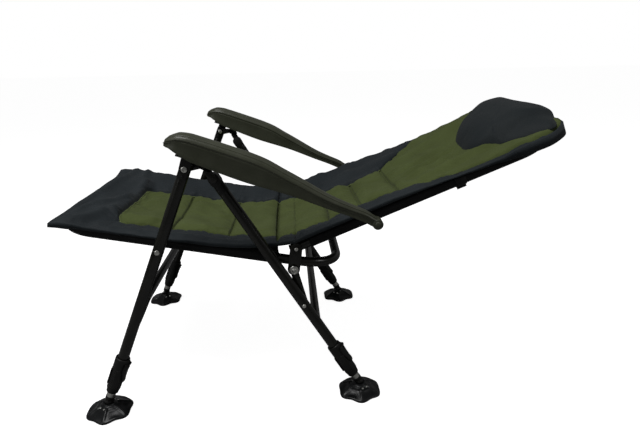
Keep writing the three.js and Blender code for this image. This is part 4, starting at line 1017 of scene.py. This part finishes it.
def half_width(half, s):
    """The mattress's half width: pointed front corners, rounded head corners."""
    if half == "seat":
        return MATTRESS_HALF + 7 * math.exp((s - SEAT_LENGTH) / 38)
    beyond = max(0.0, s - (BACK_LENGTH - HEAD_CORNER))
    return MATTRESS_HALF + HEAD_WIDER - HEAD_CORNER + math.sqrt(HEAD_CORNER ** 2 - beyond ** 2)


def olive_edges(half, s):
    """The olive panel's far and near edges: the cover lies a little askew on its padding."""
    room = half_width(half, s) - 13
    return [max(-room, min(room, edge)) for edge in along(PANELS[half], s)]


def inside_olive(half, x, s):
    """How far inside the olive panel a point is, less than zero outside it."""
    far, near = olive_edges(half, s)
    if half == "seat":
        return rounded_box(x - (far + near) / 2, s, (near - far) / 2, PANEL_FRONT, PANEL_CORNER)
    return min(x - far, near - x)


def edge_distance(half, x, s):
    """How far inside the mattress's outline a point is."""
    if half == "seat":
        return min(half_width(half, s) - abs(x), SEAT_LENGTH - s)
    return rounded_box(x, s, MATTRESS_HALF + HEAD_WIDER, BACK_LENGTH, HEAD_CORNER)


def mattress_faces(half, x, s):
    """Heights of the mattress's under and upper face, before its seams and folds."""
    sag = 1 - smooth_step(*SAG_FADE[half], s)
    flat = SLEEVE_R + 0.4
    rest = flat + (sling_height(min(abs(x), RAIL_X)) + 0.7 - flat) * sag
    lift = HINGE_RISE * max(0.0, 1 - s / HINGE_RISE_FROM) ** 2 if half == "seat" else 0
    upper = rest + PADDING
    beside = max(0.0, (abs(x) - BORDER_FROM) / (half_width(half, s) - BORDER_FROM))
    inner, middle, rim, low = along((NEAR_BORDER if x > 0 else FAR_BORDER)[half], s)
    border = along([(0.0, inner), (0.3, inner), (0.65, middle), (0.88, rim), (1.0, rim - 4)], beside)[0]
    upper += (border - upper) * smooth_step(0, 0.3, beside)
    if half == "seat":
        before = max(0.0, (s - PANEL_FRONT) / (SEAT_LENGTH - PANEL_FRONT))
        front = along(FRONT_BORDER, before)[0]
        weight = before ** 2 / (before ** 2 + beside ** 2 + 1e-6)
        upper += (front - upper) * weight * smooth_step(0, 0.3, before)
    else:
        upper += (26 - upper) * 0.6 * smooth_step(590, BACK_LENGTH, s)
    inset = edge_distance(half, x, s)
    if half == "seat" and SEAT_LENGTH - s < half_width(half, s) - abs(x):
        low = upper - 9
    rim_share = (1 - smooth_step(0, 15, inset)) * smooth_step(0.8, 0.95, max(beside, (s - 560) / 90))
    under = min(rest + (low - rest) * rim_share, upper - 3)
    return under + lift, upper + lift


def groove(distance, width):
    return math.exp(-(distance / width) ** 2)


def wander(x, s, across, lengthwise, seed):
    """Soft noise from about -1 to 1 whose lumps are so wide and so long."""
    return 2 * noise.noise(Vector((x / across, s / lengthwise, seed)))


def sewing(half, x, s):
    """How much the seams and folds raise or lower the upper face."""
    depth, fold = sizes().quilt_groove / MM, sizes().wrinkle / MM
    inside = inside_olive(half, x, s)
    inset = edge_distance(half, x, s)
    seam = min([abs(s - k) for k in (SEAT_SEAMS if half == "seat" else BACK_SEAMS)])
    # The seam round the panel, the cloth gathered beside it, and soft lumps all over
    rise = -depth * groove(inside, 3.0) - 2.4 * groove(inside, 10)
    rise += fold * 0.55 * wander(x, s, 30, 9, 1.7 if half == "seat" else 6.1) * math.exp(-abs(inside) / 15)
    rise += fold * 0.9 * wander(x, s, 80, 40, 4.2)
    if inside > 0:
        rise -= depth * groove(seam, 2.6) + 4.0 * groove(seam, 15)
    if half == "seat":
        # The deep seam by the hinge, which runs on across the borders
        deep = groove(s - SEAT_SEAMS[0], 3.6) * smooth_step(0, 14, inset)
        rise -= (1.1 if inside > 0 else 1.6) * depth * deep
        # Long slanting folds in the front border
        forward = smooth_step(PANEL_FRONT, PANEL_FRONT + 26, s) * (1 - smooth_step(500, 528, s))
        ridge = 1 - abs(wander(s - 0.24 * x, x, 44, 260, 8.4))
        rise += fold * 4.6 * forward * (ridge - 0.6)
    elif s > 250:
        # Folds that run up to the pillow and end under it
        run = smooth_step(270, 330, s) * (1 - smooth_step(425, 470, s))
        ridge = 1 - abs(wander(x + 0.38 * (s - 400), s, 50, 320, 2.5))
        rise += fold * 4.2 * run * (ridge - 0.6) * smooth_step(-10, 40, inside)
    if inside < 0:
        # Short folds where the borders bend at the hinge
        rise += fold * 2.6 * math.exp(-s / 45) * wander(x, s, 90, 11, 3.3)
    return rise * smooth_step(-1, 14, inset)


def sheared(half, x, s, height):
    """A place on the mattress, leaning to the crease plane near the hinge."""
    lean = CREASE * (1 - smooth_step(0, 36, s))
    if half == "seat":
        return x, -(s + lean * (height - RAIL_DROP)), height - RAIL_DROP
    return x, s + lean * height, height


def mattress_grid(half, start, end):
    """A closed double skin over the mattress, finer along its seams."""
    seams = (*SEAT_SEAMS, PANEL_FRONT) if half == "seat" else (*BACK_SEAMS, start)
    rows = stations(start, end, 6.5, seams, 8, 1.6)
    # Columns as shares of the half width, the panel's edge being at its own share
    edge_share = 0.6
    border = stations(edge_share, 1, 0.035, (edge_share, 0.985), 0.03, 0.008)
    panel = stations(0, edge_share, 0.026, (edge_share,), 0.16 if half == "seat" else 0.03, 0.01)
    right = panel + border[1:]
    columns = [-u for u in reversed(right[1:])] + right
    bm = bmesh.new()
    bmesh.ops.create_grid(bm, x_segments=len(columns) - 1, y_segments=len(rows) - 1, size=1.0)
    bmesh.ops.solidify(bm, geom=bm.faces[:], thickness=0.1)
    middle = sum(v.co.z for v in bm.verts) / len(bm.verts)
    held, rise, flat = [], [], {}
    for vert in bm.verts:
        top = vert.co.z > middle
        u = columns[round((vert.co.x + 1) / 2 * (len(columns) - 1))]
        s = rows[round((vert.co.y + 1) / 2 * (len(rows) - 1))]
        wide = half_width(half, s)
        far, near = olive_edges(half, s)
        if abs(u) <= edge_share:
            x = (far + near) / 2 + (near - far) / 2 * u / edge_share
        else:
            edge = near if u > 0 else far
            x = edge + (math.copysign(wide, u) - edge) * (abs(u) - edge_share) / (1 - edge_share)
        if half == "seat":
            s -= 6 * (1 - math.exp((abs(x) - wide) / 45)) * smooth_step(420, SEAT_LENGTH, s)
        x -= math.copysign(1.8 * abs(wander(0, s, 1, 50, 7.7)) * smooth_step(0.85, 1, abs(u)), x)
        under, upper = mattress_faces(half, x, s)
        flat[vert] = (x, s, top)
        seam = min([abs(s - k) for k in seams])
        inside = inside_olive(half, x, s)
        sewn_down = abs(inside) < 4 or (inside > 0 and seam < 3)
        held.append(not top or sewn_down or min(s - start, end - s, edge_distance(half, x, s)) < 6)
        rise.append(sewing(half, x, s) if top else 0.0)
        vert.co = sheared(half, x, s, upper if top else under)
    for face in bm.faces:
        x, s = (sum(flat[v][i] for v in face.verts) / len(face.verts) for i in (0, 1))
        olive = all(flat[v][2] for v in face.verts) and inside_olive(half, x, s) > 0
        face.material_index = 0 if olive else 1
    return bm, held, rise


def swelled(piece, held, growth, cap, pressure=3.0, steps=12):
    """Inflates a padded piece by cloth simulation, its seams held, and keeps the result.

    The cloth may grow by a share of its size, and nothing moves further than the cap, in metres.
    """
    scene = bpy.context.scene
    mesh = piece.data
    rest = [v.co.copy() for v in mesh.vertices]
    group = piece.vertex_groups.new(name="seams")
    group.add([i for i, pinned in enumerate(held) if pinned], 1.0, "ADD")
    cloth = piece.modifiers.new("Cloth", "CLOTH")
    for name, value in {"quality": 4, "mass": 0.25, "tension_stiffness": 12, "compression_stiffness": 6,
                        "bending_stiffness": 0.3, "use_pressure": True, "uniform_pressure_force": pressure,
                        "vertex_group_mass": "seams", "shrink_min": -growth}.items():
        setattr(cloth.settings, name, value)
    cloth.settings.effector_weights.gravity = 0
    cloth.collision_settings.use_collision = False
    cloth.point_cache.frame_end = steps
    for step in range(1, steps + 1):
        scene.frame_set(step)
    depsgraph = bpy.context.evaluated_depsgraph_get()
    swollen = piece.evaluated_get(depsgraph).to_mesh()
    for vert, start, moved in zip(mesh.vertices, rest, swollen.vertices):
        shift = moved.co - start
        if shift.length > cap:
            shift *= cap / shift.length
        vert.co = start + shift
    piece.evaluated_get(depsgraph).to_mesh_clear()
    piece.modifiers.remove(cloth)
    piece.vertex_groups.clear()
    scene.frame_set(1)
    mesh.update()


def sewn(piece, rise, where):
    """Presses the seams and folds into a swelled piece."""
    up = where.to_3x3() @ Vector((0, 0, 1))
    for vert, height in zip(piece.data.vertices, rise):
        vert.co += up * height
    piece.data.update()


def sewn_cord(name, points, where, body):
    """A thin piping cord along a run of points, made a mesh."""
    data = bpy.data.curves.new(name, "CURVE")
    data.dimensions = "3D"
    data.bevel_depth = CORD_R * MM
    data.bevel_resolution = 2
    data.use_fill_caps = True
    spline = data.splines.new("POLY")
    spline.points.add(len(points) - 1)
    for point, co in zip(spline.points, points):
        point.co = (*(where @ Vector(co)), 1)
    curve = added(name, data)
    mesh = bpy.data.meshes.new_from_object(curve.evaluated_get(bpy.context.evaluated_depsgraph_get()))
    bpy.data.objects.remove(curve)
    mesh.materials.clear()
    mesh.materials.append(FINISH["piping"])
    mesh.shade_smooth()
    piece = added(name, mesh)
    if body:
        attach(piece, body)
    return piece


def olive_outline(half, near, start, end):
    """Points along one edge of the olive panel, lying in its sewn groove."""
    steps = int((end - start) / 5)
    rows = [start + (end - start) * i / steps for i in range(steps + 1)]
    path = [(olive_edges(half, s)[1 if near else 0], s) for s in rows]
    if half == "seat":
        side = 1 if near else -1
        x, s = path[-1][0] - side * PANEL_CORNER, PANEL_FRONT - PANEL_CORNER
        for turn in (math.radians(angle) for angle in range(10, 91, 10)):
            path.append((x + side * PANEL_CORNER * math.cos(turn), s + PANEL_CORNER * math.sin(turn)))
        x = path[-1][0]
        middle = sum(olive_edges(half, PANEL_FRONT)) / 2
        path += [(x + (middle - x) * i / 16, PANEL_FRONT) for i in range(1, 17)]
    return [sheared(half, x, s, mattress_faces(half, x, s)[1] + sewing(half, x, s) + 0.6) for x, s in path]


class CHAIR_OT_mattress(bpy.types.Operator):
    """Builds the quilted mattress: the seat's half, the bending strip and the back's half"""

    bl_idname = "carp_chair.mattress"
    bl_label = "Mattress"

    def execute(self, context):
        parts = (("seat_mattress", "seat", SEAT, "seat", -OVERLAP, SEAT_LENGTH),
                 ("hinge_mattress", "back", BACK, None, -OVERLAP, HINGE_SECTION),
                 ("back_mattress", "back", BACK, "backrest", HINGE_SECTION, BACK_LENGTH))
        for node, half, where, body, start, end in parts:
            bm, held, rise = mattress_grid(half, start, end)
            piece = finished(f"{node}_quilt", bm, where, body, node, "quilt")
            swelled(piece, held, growth=0.02, cap=0.004)
            sewn(piece, rise, where)
            last = PANEL_FRONT - PANEL_CORNER if half == "seat" else min(end, PIPING_END)
            cords = []
            for side, near in (("near", True), ("far", False)):
                run = olive_outline(half, near, max(start, 1), last)
                cords.append(sewn_cord(f"{node}_piping_{side}", run, where, body))
            if body is None:
                for one in (piece, *cords):
                    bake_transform(one)
            else:
                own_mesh(piece)
        return {"FINISHED"}


# The pillow's corners on the back, in order round it
PILLOW_OUTLINE = [(-14, 466), (140, 455), (240, 628), (114, 679), (-190, 678), (-200, 624)]
PILLOW_CENTRE = (25, 588)
PILLOW_RISE = 30.0


def pillow_reach(ux, us):
    """How far the pillow reaches from its centre along a direction, its corners rounded."""
    total = 0.0
    for (x0, s0), (x1, s1) in zip(PILLOW_OUTLINE, PILLOW_OUTLINE[1:] + PILLOW_OUTLINE[:1]):
        nx, ns = s1 - s0, x0 - x1
        gap = nx * (x0 - PILLOW_CENTRE[0]) + ns * (s0 - PILLOW_CENTRE[1])
        total += max(0.0, (nx * ux + ns * us) / gap) ** 14
    return total ** (-1 / 14)


class CHAIR_OT_pillow(bpy.types.Operator):
    """Builds the pillow"""

    bl_idname = "carp_chair.pillow"
    bl_label = "Pillow"

    def execute(self, context):
        bm = bmesh.new()
        bmesh.ops.create_grid(bm, x_segments=60, y_segments=48, size=1.0)
        bmesh.ops.solidify(bm, geom=bm.faces[:], thickness=0.1)
        middle = sum(v.co.z for v in bm.verts) / len(bm.verts)
        held, rise = [], []
        for vert in bm.verts:
            top = vert.co.z > middle
            share = max(abs(vert.co.x), abs(vert.co.y))
            ux, us = vert.co.x * 2, vert.co.y
            ahead = Vector((ux, us)).normalized() if share else Vector((1, 0))
            x, s = Vector(PILLOW_CENTRE) + ahead * share * pillow_reach(*ahead)
            under = mattress_faces("back", x, min(s, 640))[1] - 1.5
            fullness = max(0.0, 1 - share ** 3) ** 0.6
            vert.co = (x, s, under + (3 + PILLOW_RISE * fullness if top else 0))
            held.append(not top or share > 0.97)
            rise.append(0.8 * wander(x, s, 90, 60, 5.5) * fullness if top else 0.0)
        piece = finished("head_pillow", bm, BACK, "backrest", "pillow", "pillow")
        swelled(piece, held, growth=0.005, cap=0.003)
        sewn(piece, rise, BACK)
        smooth = piece.modifiers.new("Soft surface", "SUBSURF")
        smooth.levels = smooth.render_levels = 1
        return {"FINISHED"}


# Stage: places in metres, the camera's as worked out from the photograph

FLOOR_HALF = 40.0
LIGHTS = (("overhead_softbox", (0.5, -0.7, 2.5), 1.2, 43),
          ("front_softbox", (1.9, -1.9, 1.3), 1.0, 9),
          ("rear_softbox", (0.9, 2.3, 1.7), 0.8, 8))
LIT = (0, 0, 0.35)
CAMERA_AT = (1.34099, PIVOT["recline"].y - 0.00676, 0.76095)
CAMERA_YAW = -0.05576
CAMERA_PITCH = 0.30234
CAMERA_ROLL = -0.01984
FOCAL_PIXELS = 520.0026
PHOTO_PIXELS = 640
SENSOR = 36


def seen_or_not(tree, unseen, seen):
    """Mixes two shaders: the first gives the light, and the camera sees the second."""
    camera = add_node(tree, "ShaderNodeLightPath").outputs["Is Camera Ray"]
    mix = add_node(tree, "ShaderNodeMixShader", i0=camera, i1=unseen.outputs[0], i2=seen.outputs[0])
    return mix.outputs[0]


class CHAIR_OT_stage(bpy.types.Operator):
    """Sets up the floor, the light and the camera"""

    bl_idname = "carp_chair.stage"
    bl_label = "Stage"

    def execute(self, context):
        scene = bpy.context.scene
        bm = bmesh.new()
        bmesh.ops.create_grid(bm, x_segments=2, y_segments=2, size=FLOOR_HALF)
        mesh = bpy.data.meshes.new("studio_floor")
        bm.to_mesh(mesh)
        bm.free()
        material, tree, shader = new_material("white_studio_floor", "#C8C8C8", 0.9, Specular_IOR_Level=0.0,
                                              Emission_Color=(1, 1, 1, 1), Emission_Strength=0.9)
        dull = add_node(tree, "ShaderNodeBsdfDiffuse", Color=srgb("#8C8C8C"))
        tree.links.new(seen_or_not(tree, dull, shader), tree.nodes["Material Output"].inputs[0])
        mesh.materials.append(material)
        added("studio_floor", mesh)
        world = bpy.data.worlds.new("white_studio")
        world.use_nodes = True
        scene.world = world
        tree = world.node_tree
        tree.nodes.clear()
        dim, white = (add_node(tree, "ShaderNodeBackground", Color=(1, 1, 1, 1), Strength=strength)
                      for strength in (0.15, 1.0))
        add_node(tree, "ShaderNodeOutputWorld", i0=seen_or_not(tree, dim, white))
        for name, at, size, power in LIGHTS:
            data = bpy.data.lights.new(name, "AREA")
            data.shape = "SQUARE"
            data.size = size
            data.energy = power
            aim = (Vector(LIT) - Vector(at)).to_track_quat("-Z", "Y").to_matrix().to_4x4()
            added(name, data).matrix_world = Matrix.Translation(at) @ aim
        away = -math.cos(CAMERA_PITCH)
        ahead = Vector((math.cos(CAMERA_YAW) * away, math.sin(CAMERA_YAW) * away, -math.sin(CAMERA_PITCH)))
        across = ahead.cross(Vector((0, 0, 1))).normalized()
        upright = across.cross(ahead)
        right = math.cos(CAMERA_ROLL) * across + math.sin(CAMERA_ROLL) * upright
        up = -math.sin(CAMERA_ROLL) * across + math.cos(CAMERA_ROLL) * upright
        data = bpy.data.cameras.new("photo_camera")
        data.sensor_width = SENSOR
        data.lens = FOCAL_PIXELS / PHOTO_PIXELS * SENSOR
        data.clip_start = 0.05
        camera = added("photo_camera", data)
        turn = Matrix((right, up, -ahead)).transposed().to_4x4()
        camera.matrix_world = Matrix.Translation(CAMERA_AT) @ turn
        scene.camera = camera
        scene.view_settings.view_transform = "Standard"
        return {"FINISHED"}


class CHAIR_PT_panel(bpy.types.Panel):
    """Lists the chair's parts"""

    bl_idname = "CHAIR_PT_panel"
    bl_label = "Carp Fishing Chair"
    bl_space_type = "VIEW_3D"
    bl_region_type = "UI"
    bl_category = "Chair"

    def draw(self, context):
        layout = self.layout
        for group in (context.scene.carp_chair_sizes, context.scene.carp_chair_colours):
            for name in group.__annotations__:
                layout.prop(group, name)
        for operator in OPERATORS:
            layout.operator(operator.bl_idname)


OPERATORS = (CHAIR_OT_stage, CHAIR_OT_frame, CHAIR_OT_legs, CHAIR_OT_hardware, CHAIR_OT_leg_locks,
             CHAIR_OT_feet, CHAIR_OT_armrests, CHAIR_OT_slings, CHAIR_OT_mattress, CHAIR_OT_pillow)
CLASSES = (ChairSizes, ChairColours, *OPERATORS, CHAIR_PT_panel)


def register():
    for one in CLASSES:
        bpy.utils.register_class(one)
    bpy.types.Scene.carp_chair_sizes = bpy.props.PointerProperty(type=ChairSizes)
    bpy.types.Scene.carp_chair_colours = bpy.props.PointerProperty(type=ChairColours)


def unregister():
    del bpy.types.Scene.carp_chair_sizes
    del bpy.types.Scene.carp_chair_colours
    for one in reversed(CLASSES):
        bpy.utils.unregister_class(one)


def main():
    register()
    make_finishes()
    for operator in OPERATORS:
        group, name = operator.bl_idname.split(".")
        getattr(getattr(bpy.ops, group), name)()
    bpy.context.view_layer.update()


if __name__ == "__main__":
    main()
